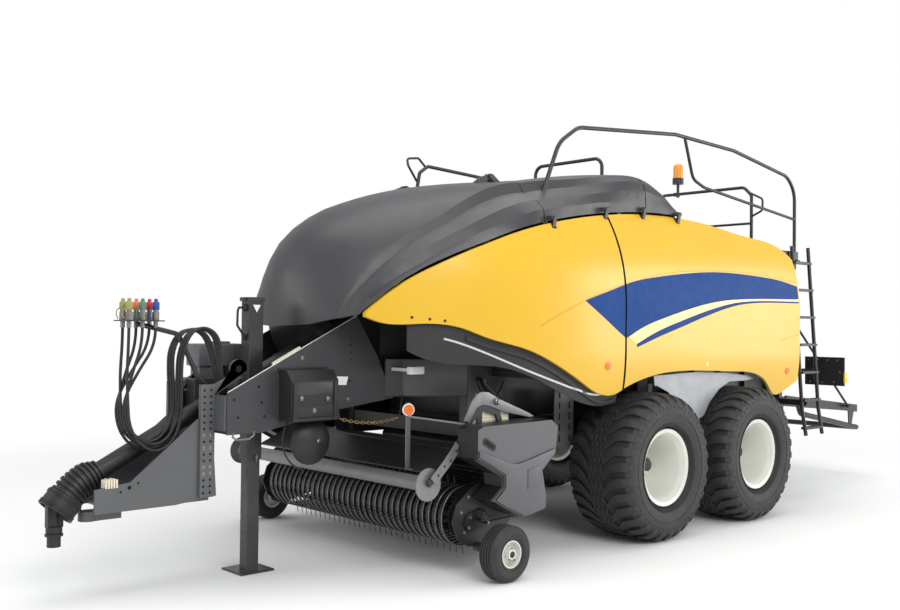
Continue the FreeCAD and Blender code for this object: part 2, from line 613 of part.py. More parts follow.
def side_trim():
    """Dark sheet that hangs below the front door, set in behind it."""
    inset = PANEL_THICK + 12
    skin = shell_skin(SHELL_STATIONS_FRONT[:-2], 1000, 2000, inset, 6)
    upper = [(x, z + 60) for x, z in reversed(DOOR_LOW_FRONT[2:])]
    lower = [(2400, 1700), (2290, 1560), (2140, 1475), (1700, 1430), (1400, 1360), (1100, 1235), (700, 1110),
             (400, 1130)]
    sheet = skin.common(side_outline(upper, lower, DOOR_SEAM_X + 20, 2260))
    lip_skin = shell_skin(SHELL_STATIONS_FRONT[:-2], 1000, 2000, inset - 14, 15)
    lip_top = [(x, z - 42) for x, z in reversed(DOOR_LOW_FRONT[4:])]
    lip_low = [(x, z - 68) for x, z in DOOR_LOW_FRONT[4:]]
    lip = lip_skin.common(side_outline(lip_top, lip_low, DOOR_SEAM_X + 60, 1900))
    arm_y = shell_y(1300, 1300) - inset - 3
    arm = block((1240, 1300), (RAIL_OUTER_Y, arm_y), (1330, 1380))
    return join(sheet, lip, arm)


HOOD_PIVOT_X = 1132.0
HOOD_PIVOT_Z = 2905.0
FAN_X = HOOD_REAR_X
FAN_Z = 1750.0
# angle, centre radius, then (y, radius) of the upper crease and of the lower edge
HOOD_FAN = [(-4, 1645, (540, 1490), (700, 1360)), (3.5, 1643, (555, 1460), (712, 1335)),
            (12, 1640, (595, 1345), (870, 1200)), (22, 1590, (650, 1240), (1000, 1022)),
            (33, 1460, (690, 1140), (1070, 890)), (46, 1293, (740, 1045), (1112, 800)),
            (60, 1180, (782, 1025), (1125, 738)), (75, 1125, (822, 1045), (1130, 716)),
            (90, 1118, (860, 1070), (1130, 740))]
# shares of the way from crease to lower edge, across and down, at the nose and beside the cover
NOSE_STEPS = ((0.08, 0.24), (0.50, 0.48), (0.62, 0.80), (1.0, 1.0), (1.1, 1.22))
SEAM_STEPS = ((0.148, 0.246), (0.685, 0.462), (0.956, 0.692), (1.0, 1.0), (1.02, 1.154))
HOOD_SECTIONS = 18


def eased(rows, at):
    """Row of numbers at a station, on a smooth curve through the given rows."""
    k = max(i for i in range(len(rows) - 1) if i == 0 or rows[i][0] <= at)
    before, here, there, after = (rows[min(max(i, 0), len(rows) - 1)] for i in (k - 1, k, k + 1, k + 2))
    span = there[0] - here[0]
    t = (at - here[0]) / span
    result = []
    for p0, p1, p2, p3 in zip(before, here, there, after):
        m1 = (p2 - p0) / (there[0] - before[0]) * span
        m2 = (p3 - p1) / (after[0] - here[0]) * span
        result.append((2 * t ** 3 - 3 * t ** 2 + 1) * p1 + (t ** 3 - 2 * t ** 2 + t) * m1
                      + (3 * t ** 2 - 2 * t ** 3) * p2 + (t ** 3 - t ** 2) * m2)
    return result


def fan_wire(angle, crown, crease, edge, thick):
    """Closed section of the hood in a plane through the fan's axis."""
    a = math.radians(angle)

    def at(y, radius):
        return V(FAN_X + radius * math.cos(a), y, FAN_Z + radius * math.sin(a))

    turned_in = min(1.0, max(0.0, (angle - 40) / 46))
    side = [crease]
    for (nose_y, nose_r), (seam_y, seam_r) in zip(NOSE_STEPS, SEAM_STEPS):
        across = nose_y + (seam_y - nose_y) * turned_in
        down = nose_r + (seam_r - nose_r) * turned_in
        side.append((crease[0] + across * (edge[0] - crease[0]), crease[1] + down * (edge[1] - crease[1])))
    edges = []
    rows = [[(-y, r) for y, r in reversed(side)] + [None] + side,
            [(y - thick * 0.5, r - thick) for y, r in reversed(side)] + [None]
            + [(-y + thick * 0.5, r - thick) for y, r in side]]
    last, first = None, None
    for row, drop in zip(rows, (0, thick)):
        for i, point in enumerate(row):
            if point is None:
                (y0, r0), (y1, r1) = row[i - 1], row[i + 1]
                share = [y0 + (y1 - y0) * k / 4 for k in range(5)]
                crest = [at(y, r0 + (crown - drop - r0) * (1 - (y / y0) ** 2)) for y in share]
                edges.append(spline(crest))
                last = crest[-1]
                continue
            here = at(*point)
            if last is not None and (here - last).Length > 0.01:
                edges.append(Part.LineSegment(last, here).toShape())
            first = first or here
            last = here
    edges.append(Part.LineSegment(last, first).toShape())
    return Part.Wire(edges)


def waist_cut(dz):
    """Solid below the waist line on both sides, for trimming the hood and the cover."""
    lower = [(2700, 1000), (1200, 900), (-2450, 1000)]
    left = side_outline(shifted(WAIST, dz), lower, -2440, 2555)
    left = left.common(block((-2450, 2600), (420, 1500), (0, 3000)))
    return left.fuse(mirrored(left))


def hood():
    """One-piece front hood with stepped sides."""
    rows = [(angle, crown, *crease, *edge) for angle, crown, crease, edge in HOOD_FAN]
    sections = []
    for i in range(HOOD_SECTIONS + 1):
        angle = rows[0][0] + (rows[-1][0] - rows[0][0]) * i / HOOD_SECTIONS
        _, crown, crease_y, crease_r, edge_y, edge_r = eased(rows, angle)
        sections.append(fan_wire(angle, crown, (crease_y, crease_r), (edge_y, edge_r), PANEL_THICK))
    shell = Part.makeLoft(sections, True, True)
    low = plate_x([(-900, 1500), (900, 1500), (900, 1812), (720, 1798), (350, 1712), (0, 1695), (-350, 1712),
                   (-720, 1798), (-900, 1812)], 1100, 3000)
    shell = shell.cut(low).cut(waist_cut(SEAM_GAP / 2))
    for y in (-520, 520):
        shell = shell.fuse(plate_y([(HOOD_PIVOT_X + 10, HOOD_PIVOT_Z - 14), (HOOD_PIVOT_X + 10, HOOD_PIVOT_Z + 14),
                                    (HOOD_REAR_X + 90, 2880), (HOOD_REAR_X + 150, 2835), (HOOD_REAR_X + 30, 2835)],
                                   y - 15, y + 15))
        shell = shell.fuse(bar((HOOD_PIVOT_X, y - 15, HOOD_PIVOT_Z), (HOOD_PIVOT_X, y + 15, HOOD_PIVOT_Z), 17))
        shell = shell.cut(bar((HOOD_PIVOT_X, y - 30, HOOD_PIVOT_Z), (HOOD_PIVOT_X, y + 30, HOOD_PIVOT_Z),
                              HINGE_RADIUS + HINGE_CLEARANCE))
    return shell


# station, crown height, then (y, z) of the stepped side from the upper crease down
COVER_SECTIONS = [
    (1150 - 10, 2868, (860, 2815), (900, 2735), (1045, 2665), (1118, 2590), (1135, 2440)),
    (960, 2900, (885, 2850), (925, 2775), (1050, 2700), (1122, 2625), (1130, 2470)),
    (400, 2985, (955, 2930), (1000, 2870), (1065, 2795), (1098, 2715), (1104, 2560)),
    (50, 3045, (1000, 2980), (1065, 2925), (1092, 2850), (1100, 2750), (1104, 2600)),
    (-300, 3030, (1000, 2955), (1060, 2905), (1088, 2840), (1098, 2750), (1104, 2610)),
    (-500, 2960, (985, 2880), (1045, 2840), (1078, 2790), (1094, 2735), (1104, 2620)),
    (-660, 2830, (965, 2760), (1020, 2745), (1065, 2725), (1090, 2705), (1104, 2630))]


def cover_wire(x, crown, side, thick):
    outer = [V(x, -y, z) for y, z in reversed(side)] + [V(x, y, z) for y, z in side]
    half = len(side)
    inner = [V(x, p.y * (1 - thick / 1100), p.z - (0 if i in (0, 2 * half - 1) else thick))
             for i, p in enumerate(outer)]
    edges = []
    for row, drop in ((outer, 0), (inner[::-1], thick)):
        for i in range(len(row) - 1):
            if i == half - 1:
                y0, z0 = row[i].y, row[i].z
                crest = [V(x, y0 + (row[i + 1].y - y0) * k / 4, 0) for k in range(5)]
                for p in crest:
                    p.z = z0 + (crown - drop - z0) * (1 - (p.y / y0) ** 2)
                edges.append(spline(crest))
            else:
                edges.append(Part.LineSegment(row[i], row[i + 1]).toShape())
        edges.append(Part.LineSegment(row[-1], inner[-1] if row is outer else outer[0]).toShape())
    return Part.Wire(edges)


def rear_cover():
    """Fixed top cover behind the hood, with a closed rear end and the pins of hood and doors."""
    shell = Part.makeLoft([cover_wire(x, crown, side, PANEL_THICK) for x, crown, *side in COVER_SECTIONS],
                          True, False)
    seat = DECK_TOP_Z + 0.3
    end = plate_x([(-975, seat), (975, seat), (975, 2560), (1040, 2600), (1040, 2690), (1075, 2700),
                   (960, 2745), (0, 2800), (-960, 2745), (-1075, 2700), (-1040, 2690), (-1040, 2600),
                   (-975, 2560)], -660, -640)
    bow_low = BOW_TOP_Z + 0.3
    front_bow = plate_x([(-1100, bow_low), (-1100, 2580), (-880, 2760), (0, 2840), (880, 2760),
                         (1100, 2580), (1100, bow_low), (1060, bow_low), (1060, 2560), (860, 2720),
                         (0, 2800), (-860, 2720), (-1060, 2560), (-1060, bow_low)], 1080, 1100)
    pins = [hinge_pin(which, turn) for which in HINGE_LINES for turn in (0, 1)]
    shell = join(shell.cut(waist_cut(SEAM_GAP / 2)), end, front_bow, both_sides(*pins))
    for y in (-520, 520):
        for low in (y - 28, y + 16):
            ear = plate_y([(HOOD_PIVOT_X - 16, HOOD_PIVOT_Z + 16), (HOOD_PIVOT_X + 16, HOOD_PIVOT_Z + 16),
                           (HOOD_PIVOT_X + 16, HOOD_PIVOT_Z - 12), (1090, 2850), (1010, 2850)], low, low + 12)
            shell = shell.fuse(ear)
        shell = shell.fuse(bar((HOOD_PIVOT_X, y - 28, HOOD_PIVOT_Z), (HOOD_PIVOT_X, y + 28, HOOD_PIVOT_Z),
                               HINGE_RADIUS))
    return shell


# ---- deck, rails and rear ----------------------------------------------------------------------
DECK_HALF_WIDTH = 985.0
DECK_REAR_X = CHAMBER_REAR_X + 150
DECK_FRONT_X = -560.0
DECK_POST_REAR_X = CHAMBER_REAR_X + 180
DECK_POST_FRONT_X = DECK_FRONT_X - 340
POST_Y = (560, 620)
RAIL_TUBE = 17.0


def deck():
    """Walkway floor over the bale chamber, with a low board along each side."""
    floor = block((DECK_REAR_X, DECK_FRONT_X), (-DECK_HALF_WIDTH, DECK_HALF_WIDTH), (DECK_Z, DECK_TOP_Z))
    side = block((DECK_REAR_X, DECK_FRONT_X), (DECK_HALF_WIDTH - 8, DECK_HALF_WIDTH), (DECK_Z, DECK_Z + 110))
    return join(floor, both_sides(side))


def deck_posts():
    """Three cross beams under the deck, each on two posts."""
    portals = []
    for rear in (DECK_POST_REAR_X, (DECK_POST_REAR_X + DECK_POST_FRONT_X) / 2, DECK_POST_FRONT_X):
        x = (rear, rear + 80)
        post = block(x, POST_Y, (CHAMBER_TOP_Z, DECK_Z))
        beam = block(x, (-DECK_HALF_WIDTH + 5, DECK_HALF_WIDTH - 5), (DECK_Z - 70, DECK_Z))
        portals.append(join(beam, both_sides(post)))
    return Part.makeCompound(portals)


def knotter_housing():
    """Row of knotters under one lid, across the deck."""
    low = DECK_TOP_Z
    return plate_y([(-1750, low), (-1750, low + 160), (-1650, low + 250), (-1150, low + 250),
                    (-1020, low + 120), (-1020, low)], -560, 560)


def cover_frame(cover):
    """Posts and bows inside the shell that hold the top cover over the chamber."""
    posts = [block((x, x + 70), POST_Y, (CHAMBER_TOP_Z, 2520)) for x in (100, -520)]
    bows = [block((x, x + 70), (-1040, 1040), (2520, 2580)) for x in (100, -520)]
    feet = [join(block((x + 10, x + 60), (1000, 1045), (2560, 2720)),
                 block((x + 10, x + 60), (1000, 1085), (2700, 2740)).cut(cover)) for x in (100, -520)]
    front_posts = block((1070, 1130), POST_Y, (CHAMBER_TOP_Z, BOW_TOP_Z - 60))
    front_bow = block((1070, 1130), (-1098, 1098), (BOW_TOP_Z - 60, BOW_TOP_Z))
    return join(*both_sides(*posts, *feet, front_posts), *bows, front_bow)


HANDRAIL_Y = DECK_HALF_WIDTH - 30
HANDRAIL_POST_X = CHAMBER_REAR_X + 175


def handrail_left():
    """Long rail beside the walkway, from the cover's shoulder to the ladder."""
    y, post_x = HANDRAIL_Y, HANDRAIL_POST_X
    top = [(960, y - 22, 2737), (790, y, 3165), (560, y, 3315), (-780, y, 3440), (-1740, y, 3415),
           (post_x + 155, y, 3275), (post_x, y, 3140), (post_x, y, DECK_TOP_Z)]
    middle = [(-930, y, 3420), (-1060, y, 3070), (-1240, y, 3012), (post_x, y, 2845)]
    return join(bent_tube(top, RAIL_TUBE, 240), bent_tube(middle, RAIL_TUBE - 3, 120))


def handrail_right():
    """Short rail on the other shoulder of the cover."""
    y = -1000
    top = [(655, y + 62, 2840), (560, y + 20, 3150), (440, y, 3225), (-330, y, 3190), (-420, y + 10, 3110),
           (-442, y + 62, 2890)]
    loop = [(470, y, 3215), (560, y, 3290), (700, y, 3270), (712, y + 30, 3200), (600, y + 30, 3060)]
    return join(bent_tube(top, RAIL_TUBE, 60), bent_tube(loop, RAIL_TUBE - 6, 40))


CROSS_RAIL_X = CHAMBER_REAR_X + 260


def cross_rails():
    """Rails across the walkway: one behind the cover and one at its rear end."""
    low, x = DECK_TOP_Z, CROSS_RAIL_X
    front = [(-750, -700, low), (-750, -700, 3320), (-750, 150, 3320), (-750, 150, low)]
    rear = [(x, -760, low), (x, -760, 3130), (x, -600, 3220), (x, 420, 3220), (x, 510, 3130), (x, 510, low)]
    loop = [(x, 505, 3150), (x, 640, 3080), (x, 640, 2960), (x, 505, 2900)]
    middle = bar((x, -760, 2830), (x, 510, 2830), RAIL_TUBE - 4)
    return join(bent_tube(front, RAIL_TUBE, 90), bent_tube(rear, RAIL_TUBE, 70),
                bent_tube(loop, RAIL_TUBE - 6, 45), middle)


def on_cover(rail, cover):
    """The rail with its feet ended on the cover's surface."""
    return max(rail.cut(cover).Solids, key=lambda solid: solid.Volume)


BEACON_X, BEACON_Y, BEACON_Z = CROSS_RAIL_X - 50, -450.0, 3280.0


def beacon_base():
    stem = bar((BEACON_X, BEACON_Y, BEACON_Z - 90), (BEACON_X, BEACON_Y, BEACON_Z + 60), 16)
    foot = block((BEACON_X - 10, CROSS_RAIL_X + 10), (BEACON_Y - 20, BEACON_Y + 20), (BEACON_Z - 80, BEACON_Z - 40))
    cup = bar((BEACON_X, BEACON_Y, BEACON_Z + 60), (BEACON_X, BEACON_Y, BEACON_Z + 130), 62)
    return join(stem, foot, cup)


def beacon_dome():
    low = BEACON_Z + 130
    can = bar((BEACON_X, BEACON_Y, low), (BEACON_X, BEACON_Y, low + 115), 54)
    cap = Part.makeSphere(54, V(BEACON_X, BEACON_Y, low + 115)).common(
        block((BEACON_X - 60, BEACON_X + 60), (BEACON_Y - 60, BEACON_Y + 60), (low + 115, low + 160)))
    return join(can, cap)


LADDER_FOOT_Y = DECK_HALF_WIDTH + 135
LADDER_X = (CHAMBER_REAR_X - 15, CHAMBER_REAR_X + 320)


def lean_y(z):
    """The ladder leans in towards the walkway as it climbs."""
    return LADDER_FOOT_Y - (z - 900) * 0.075


def ladder():
    """Fixed ladder up to the walkway: two posts, seven treads and its stays to the frame."""
    posts = [bent_tube([(x, lean_y(640) + 30, 640), (x, lean_y(900) + 6, 900), (x, lean_y(2560) + 10, 2560)],
                       19, 300) for x in LADDER_X]
    treads = [block((LADDER_X[0], LADDER_X[1]), (lean_y(z) - 20, lean_y(z) + 42), (z, z + 24))
              for z in (700, 980, 1260, 1540, 1820, 2100, 2380)]
    stay_x = LADDER_X[0] + 130
    low_stay = block((stay_x, stay_x + 65), (RAIL_OUTER_Y, lean_y(980) - 25), (930, 990))
    low_foot = block((stay_x, stay_x + 65), (lean_y(980) - 60, lean_y(980) - 10), (940, 1000))
    top_stay = block((stay_x + 60, stay_x + 115), (DECK_HALF_WIDTH + 0.3, lean_y(2380) + 10),
                     (DECK_Z - 16, DECK_Z + 24))
    return join(*posts, *treads, low_stay, low_foot, top_stay)


def wheel_panel():
    """Panel over and between the wheels, on arms from the frame."""
    y = 1222
    outline = [(-115, 1232), (-100, 1318), (-680, 1334), (-1190, 1314), (-1560, 1282), (-1660, 1250),
               (-1500, 1236)]
    arch_rear = [(-1385 + 655 * math.cos(math.radians(a)), 595 + 655 * math.sin(math.radians(a)))
                 for a in (78, 62, 46, 33)]
    arch_front = [(655 * math.cos(math.radians(a)), 595 + 655 * math.sin(math.radians(a)))
                  for a in (147, 134, 118, 103)]
    sheet = plate_y(outline + arch_rear + [(-735, 915), (-650, 915)] + arch_front, y, y + 8)
    arm = block((-735, -675), (RAIL_OUTER_Y, y), (1210, 1270))
    bracket = block((-735, -675), (RAIL_OUTER_Y, RAIL_OUTER_Y + 12), (RAIL_HIGH_Z - 60, 1270))
    return join(sheet, arm, bracket)


REAR_FRAME_X = (CHAMBER_REAR_X - 40, CHAMBER_REAR_X)
REAR_POST_Y = (CHAMBER_WIDTH / 2 + 2, CHAMBER_WIDTH / 2 + 62)
REAR_BEAM_Z = (CHAMBER_TOP_Z + 2, 2080)
LIGHT_X = CHAMBER_REAR_X - 340
STAY_X = CHUTE_END_X + 330
STAY_Y = CHUTE_HALF_WIDTH + 66
STAY_HIGH_X = CHAMBER_REAR_X - 80
STAY_HIGH_Z = 1860.0
STAY_HALF_WIDTH = 14.0
STAY_PIN_RADIUS = 12.0
PIN_CLEARANCE = 0.3


def light_arms():
    """Arms behind the frame that carry the light boards."""
    arm = block((LIGHT_X, CHAMBER_REAR_X), (RAIL_OUTER_Y + 60, RAIL_OUTER_Y + 100), (1240, 1290))
    foot = block((CHAMBER_REAR_X - 2, CHAMBER_REAR_X + 90), (RAIL_OUTER_Y - 78, RAIL_OUTER_Y + 100),
                 (1180, 1290))
    stem = block((CHAMBER_REAR_X + 30, CHAMBER_REAR_X + 90), (RAIL_OUTER_Y - 60, RAIL_OUTER_Y),
                 (RAIL_HIGH_Z, 1240))
    return join(*both_sides(arm, foot, stem))


def light_board():
    y = (RAIL_OUTER_Y + 62, RAIL_OUTER_Y + 500)
    board = block((LIGHT_X - 16, LIGHT_X), y, (1120, 1420))
    lamp = block((LIGHT_X - 52, LIGHT_X - 16), (y[1] - 300, y[1] - 40), (1200, 1330))
    return join(board, lamp)


def rear_beam():
    """Cross beam over the chamber's mouth, on the rear frame's posts."""
    return block(REAR_FRAME_X, (-REAR_POST_Y[1], REAR_POST_Y[1]), REAR_BEAM_Z)


def rear_frame():
    """Upright posts beside the chamber's mouth, with the stays' top lugs."""
    post = block(REAR_FRAME_X, REAR_POST_Y, (RAIL_HIGH_Z, REAR_BEAM_Z[0]))
    lug = block((STAY_HIGH_X - 30, CHAMBER_REAR_X), (CHAMBER_WIDTH / 2 + 60, STAY_Y - STAY_HALF_WIDTH - 5),
                (STAY_HIGH_Z - 30, STAY_HIGH_Z + 30))
    pin = bar((STAY_HIGH_X, STAY_Y - 40, STAY_HIGH_Z), (STAY_HIGH_X, STAY_Y + 17, STAY_HIGH_Z),
              STAY_PIN_RADIUS)
    return join(both_sides(post, lug, pin))


# ---- bale chute --------------------------------------------------------------------------------


def chute_z(x):
    """Height of the chute's rail axis at a station."""
    share = (x - CHUTE_PIVOT_X) / (CHUTE_END_X - CHUTE_PIVOT_X)
    return 960 + share * (CHUTE_END_Z - 960)


def stay_low():
    """Where the stays' lower eyes meet the pegs on the chute's rails."""
    return STAY_X, STAY_Y, chute_z(STAY_X) + 10


def bale_chute():
    """Fold-up roller bed: side rails, rollers between them and a tube hoop below."""
    half = CHUTE_HALF_WIDTH
    a, b = CHUTE_PIVOT_X - 25, CHUTE_END_X
    rail = plate_y([(a, chute_z(a) + 45), (a, chute_z(a) - 55), (b, chute_z(b) - 45), (b, chute_z(b) + 40)],
                   half, half + 22)
    cheek = plate_y([(a - 120, chute_z(a) - 45), (CHUTE_PIVOT_X + 26, CHUTE_PIVOT_Z - 26),
                     (CHUTE_PIVOT_X + 26, CHUTE_PIVOT_Z + 26), (a - 120, chute_z(a) + 30)], half, half + 22)
    eye = bar((CHUTE_PIVOT_X, half, CHUTE_PIVOT_Z), (CHUTE_PIVOT_X, half + 22, CHUTE_PIVOT_Z), 30)
    hole = bar((CHUTE_PIVOT_X, half - 5, CHUTE_PIVOT_Z), (CHUTE_PIVOT_X, half + 30, CHUTE_PIVOT_Z), 15.3)
    side = join(rail, cheek, eye).cut(hole)
    tube_y, rear_x = half + 11, -REAR_REACH + 30
    left_hoop = [(a - 260, tube_y, chute_z(a) - 50), (a - 330, tube_y, 790), (b + 130, tube_y, 585),
                 (rear_x, tube_y, 560)]
    right_hoop = [(x, -y, z) for x, y, z in reversed(left_hoop)]
    hoop = bent_tube(left_hoop + right_hoop, 30, 60)
    gusset = plate_y([(b + 70, chute_z(b + 70) - 30), (b + 210, chute_z(b + 210) - 30), (b + 190, 600),
                      (b + 130, 600)], half + 5, half + 17)
    x, y, z = stay_low()
    peg = bar((x, half + 15, z), (x, y - STAY_HALF_WIDTH - 5, z), STAY_PIN_RADIUS)
    rollers = []
    for i in range(CHUTE_ROLLERS):
        x = a - 170 + (b - a + 240) * i / (CHUTE_ROLLERS - 1)
        rollers.append(bar((x, -half - 5, chute_z(x) - 2), (x, half + 5, chute_z(x) - 2), 40))
    return join(both_sides(side, gusset, peg), hoop, rollers)


def chute_stay():
    """Pair of rods that hang from a pin beside the rear frame and reach the chute's rail."""
    x, y, z = stay_low()
    low_eye = bar((x, y - STAY_HALF_WIDTH, z), (x, y + STAY_HALF_WIDTH, z), 24)
    high_eye = bar((STAY_HIGH_X, y - STAY_HALF_WIDTH, STAY_HIGH_Z),
                   (STAY_HIGH_X, y + STAY_HALF_WIDTH, STAY_HIGH_Z), 24)
    rods = [bar((x, y + dy, z), (STAY_HIGH_X, y + dy, STAY_HIGH_Z), 8) for dy in (-6, 6)]
    holes = [bar((px, y - 40, pz), (px, y + 40, pz), STAY_PIN_RADIUS + PIN_CLEARANCE)
             for px, pz in ((x, z), (STAY_HIGH_X, STAY_HIGH_Z))]
    return join(low_eye, high_eye, *rods).cut(join(*holes))


def chute_pins():
    """Pivot pins of the chute, on plates behind the main rails."""
    half = CHUTE_HALF_WIDTH
    arm = plate_y([(CHAMBER_REAR_X, 990), (CHAMBER_REAR_X, 880), (CHUTE_PIVOT_X - 20, CHUTE_PIVOT_Z - 30),
                   (CHUTE_PIVOT_X - 20, CHUTE_PIVOT_Z + 30)], half - 26, half - 6)
    pin = bar((CHUTE_PIVOT_X, half - 16, CHUTE_PIVOT_Z), (CHUTE_PIVOT_X, half + 30, CHUTE_PIVOT_Z), 15)
    return join(*both_sides(arm, pin))


# ---- pickup ------------------------------------------------------------------------------------
PICKUP_PIVOT_X = 1020.0
PICKUP_PIVOT_Z = 720.0
SIDE_PLATE_Y = PICKUP_HALF_WIDTH
BEAM_FRONT_X = 1550.0


def feeder_housing():
    """Closed duct up into the bale chamber, rounded where the pickup swings round it."""
    swing = 268
    front = [(PICKUP_PIVOT_X + swing * math.cos(math.radians(a)),
              PICKUP_PIVOT_Z + swing * math.sin(math.radians(a))) for a in (40, 15, -10, -35, -60, -88)]
    top = RAIL_HIGH_Z - 0.3
    duct = plate_y([(1225, top)] + front + [(900, 460), (760, 600), (680, 800), (680, top)], -600, 600)
    pin = bar((PICKUP_PIVOT_X, 595, PICKUP_PIVOT_Z), (PICKUP_PIVOT_X, 652, PICKUP_PIVOT_Z), 25)
    return join(duct, *both_sides(pin))


def pickup_frame():
    """Side plates, cross tube, rear pan, pivot arms and the gauge wheels' stub axles."""
    plate = plate_y([(1950, 590), (1640, 700), (1300, 790), (1190, 760), (1230, 640), (1480, 420), (1620, 250),
                     (1800, 190), (1960, 200), (2060, 260), (2110, 380), (2070, 500)],
                    SIDE_PLATE_Y, SIDE_PLATE_Y + 10)
    shaft_hole = bar((REEL_X, SIDE_PLATE_Y - 5, REEL_Z), (REEL_X, SIDE_PLATE_Y + 20, REEL_Z), 32)
    tube = block((1300, 1380), (-SIDE_PLATE_Y - 5, SIDE_PLATE_Y + 5), (630, 710))
    arm = plate_y([(1310, 640), (1310, 708), (PICKUP_PIVOT_X + 10, PICKUP_PIVOT_Z + 34),
                   (PICKUP_PIVOT_X + 10, PICKUP_PIVOT_Z - 34)], 630, 650)
    arm = arm.fuse(bar((PICKUP_PIVOT_X, 630, PICKUP_PIVOT_Z), (PICKUP_PIVOT_X, 650, PICKUP_PIVOT_Z), 42))
    pivot = bar((PICKUP_PIVOT_X, 600, PICKUP_PIVOT_Z), (PICKUP_PIVOT_X, 680, PICKUP_PIVOT_Z), 25.3)
    stub = bar((GAUGE_X, SIDE_PLATE_Y, GAUGE_RADIUS + 1), (GAUGE_X, GAUGE_OUTER_Y - 45, GAUGE_RADIUS + 1), 18)
    collar = bar((GAUGE_X, SIDE_PLATE_Y, GAUGE_RADIUS + 1),
                 (GAUGE_X, GAUGE_OUTER_Y - GAUGE_WIDTH - 6, GAUGE_RADIUS + 1), 32)
    left = [plate.cut(shaft_hole), arm.cut(pivot), stub, collar]
    beam = block((1500, BEAM_FRONT_X), (-SIDE_PLATE_Y, SIDE_PLATE_Y), (615, 665))
    return join(both_sides(*left), tube, beam)


def pickup_bands():
    """Curved guard bands that the tines run between, on a beam behind."""
    bands = []
    outer, inner = BAND_RADIUS, BAND_RADIUS - 5
    half_width = TINE_PITCH * 0.31
    for i in range(TINE_COUNT + 1):
        y = (i - TINE_COUNT / 2) * TINE_PITCH
        arc = []
        for r, angles in ((outer, range(100, -101, -10)), (inner, range(-100, 101, 10))):
            arc += [(REEL_X + r * math.cos(math.radians(a)), REEL_Z + r * math.sin(math.radians(a)))
                    for a in angles]
            if r == outer:
                arc += [(1620, REEL_Z - outer + 8), (1620, REEL_Z - outer + 13)]
        arc += [(1590, REEL_Z + outer + 46), (1588, REEL_Z + outer + 52)]
        bands.append(plate_y(arc, y - half_width, y + half_width))
    end = SIDE_PLATE_Y - 0.3
    beam = block((BEAM_FRONT_X + 0.3, 1600), (-end, end), (REEL_Z + outer + 20, REEL_Z + outer + 56))
    low = block((1600, 1625), (-end, end), (REEL_Z - outer + 4, REEL_Z - outer + 30))
    return join(*bands, beam, low)


def pickup_reel():
    """Turning reel: shaft, end and middle discs, tine bars and the tines."""
    end = TINE_COUNT * TINE_PITCH / 2 + 20
    shaft = bar((REEL_X, -SIDE_PLATE_Y - 30, REEL_Z), (REEL_X, SIDE_PLATE_Y + 30, REEL_Z), 31.7)
    pieces = [shaft] + [bar((REEL_X, y - 5, REEL_Z), (REEL_X, y + 5, REEL_Z), 150) for y in (-end, 0, end)]
    for k in range(TINE_BARS):
        a = math.radians(80 + 360 * k / TINE_BARS)
        ux, uz = math.cos(a), math.sin(a)
        x, z = REEL_X + 128 * ux, REEL_Z + 128 * uz
        pieces.append(bar((x, -end, z), (x, end, z), 14))
        for i in range(TINE_COUNT):
            y = (i + 0.5 - TINE_COUNT / 2) * TINE_PITCH
            tip = (REEL_X + (TINE_REACH - 3) * ux, y, REEL_Z + (TINE_REACH - 3) * uz)
            pieces.append(bar((x, y, z), tip, 3.2))
    return join(*pieces)


def windguard():
    """Arms from the pickup's side plates out to the crop roller's ends."""
    path_points = [(ROLLER_X, ROLLER_Z), (2190, 790), (2090, 890), (1960, 1060), (1850, 1150),
                   (1700, 1110), (1640, 960), (1600, 640)]
    arm = strip_y(path_points, 42, SIDE_PLATE_Y + 10.3, SIDE_PLATE_Y + 26)
    stub = bar((ROLLER_X - 20, SIDE_PLATE_Y + 12, ROLLER_Z - 3),
               (ROLLER_X - 20, SIDE_PLATE_Y - 25, ROLLER_Z - 3), 14)
    return join(*both_sides(arm, stub))


def crop_roller():
    """Free-turning roller with a disc at each end."""
    x, z = ROLLER_X - 20, ROLLER_Z - 3
    end = SIDE_PLATE_Y - 1
    tube = bar((x, -end, z), (x, end, z), ROLLER_RADIUS)
    discs = [bar((x, y, z), (x, y + 8, z), ROLLER_DISC_RADIUS) for y in (end - 8, -end)]
    bores = [bar((x, y, z), (x, y + 60, z), 14.3) for y in (end - 50, -end - 10)]
    return join(tube, *discs).cut(join(*bores))


def deflector():
    """Curved sheet behind the roller, above the bands, on a tube between the arms."""
    sheet = plate_y([(2190, 700), (2200, 712), (1900, 840), (1740, 850), (1740, 840), (1890, 828)], -1080, 1080)
    tube = bar((1880, -SIDE_PLATE_Y - 12, 830), (1880, SIDE_PLATE_Y + 12, 830), 24)
    up = plate_y([(1858, 820), (1902, 820), (1900, 1160), (1850, 1160)], SIDE_PLATE_Y + 10.3, SIDE_PLATE_Y + 26)
    return join(sheet, tube, *both_sides(up))


SHIELD_OUTLINE = [(2085, 1020), (2030, 1042), (1350, 1050), (1285, 1000), (1310, 810), (1450, 700),
                  (1412, 530), (1412, 430), (1630, 392), (1830, 480), (1940, 540), (1830, 620), (1835, 700),
                  (2085, 830)]


def side_shield():
    """Moulded cover over the pickup's drive: face and rim, open towards the machine."""
    y0, y1, wall = SIDE_PLATE_Y + 30, 1400.0, 8.0
    outer = plate_y(SHIELD_OUTLINE, y0, y1)
    wire = Part.makePolygon([V(x, y0, z) for x, z in SHIELD_OUTLINE + SHIELD_OUTLINE[:1]])
    small = wire.makeOffset2D(-wall, 0)
    hollow = Part.Face(small).extrude(V(0, y1 - y0 - wall, 0))
    posts = [block((x, x + 20), (SIDE_PLATE_Y + 10.3, y1 - wall), (z, z + 20))
             for x, z in ((1560, 570), (1440, 705))]
    return join(outer.cut(hollow), *posts)


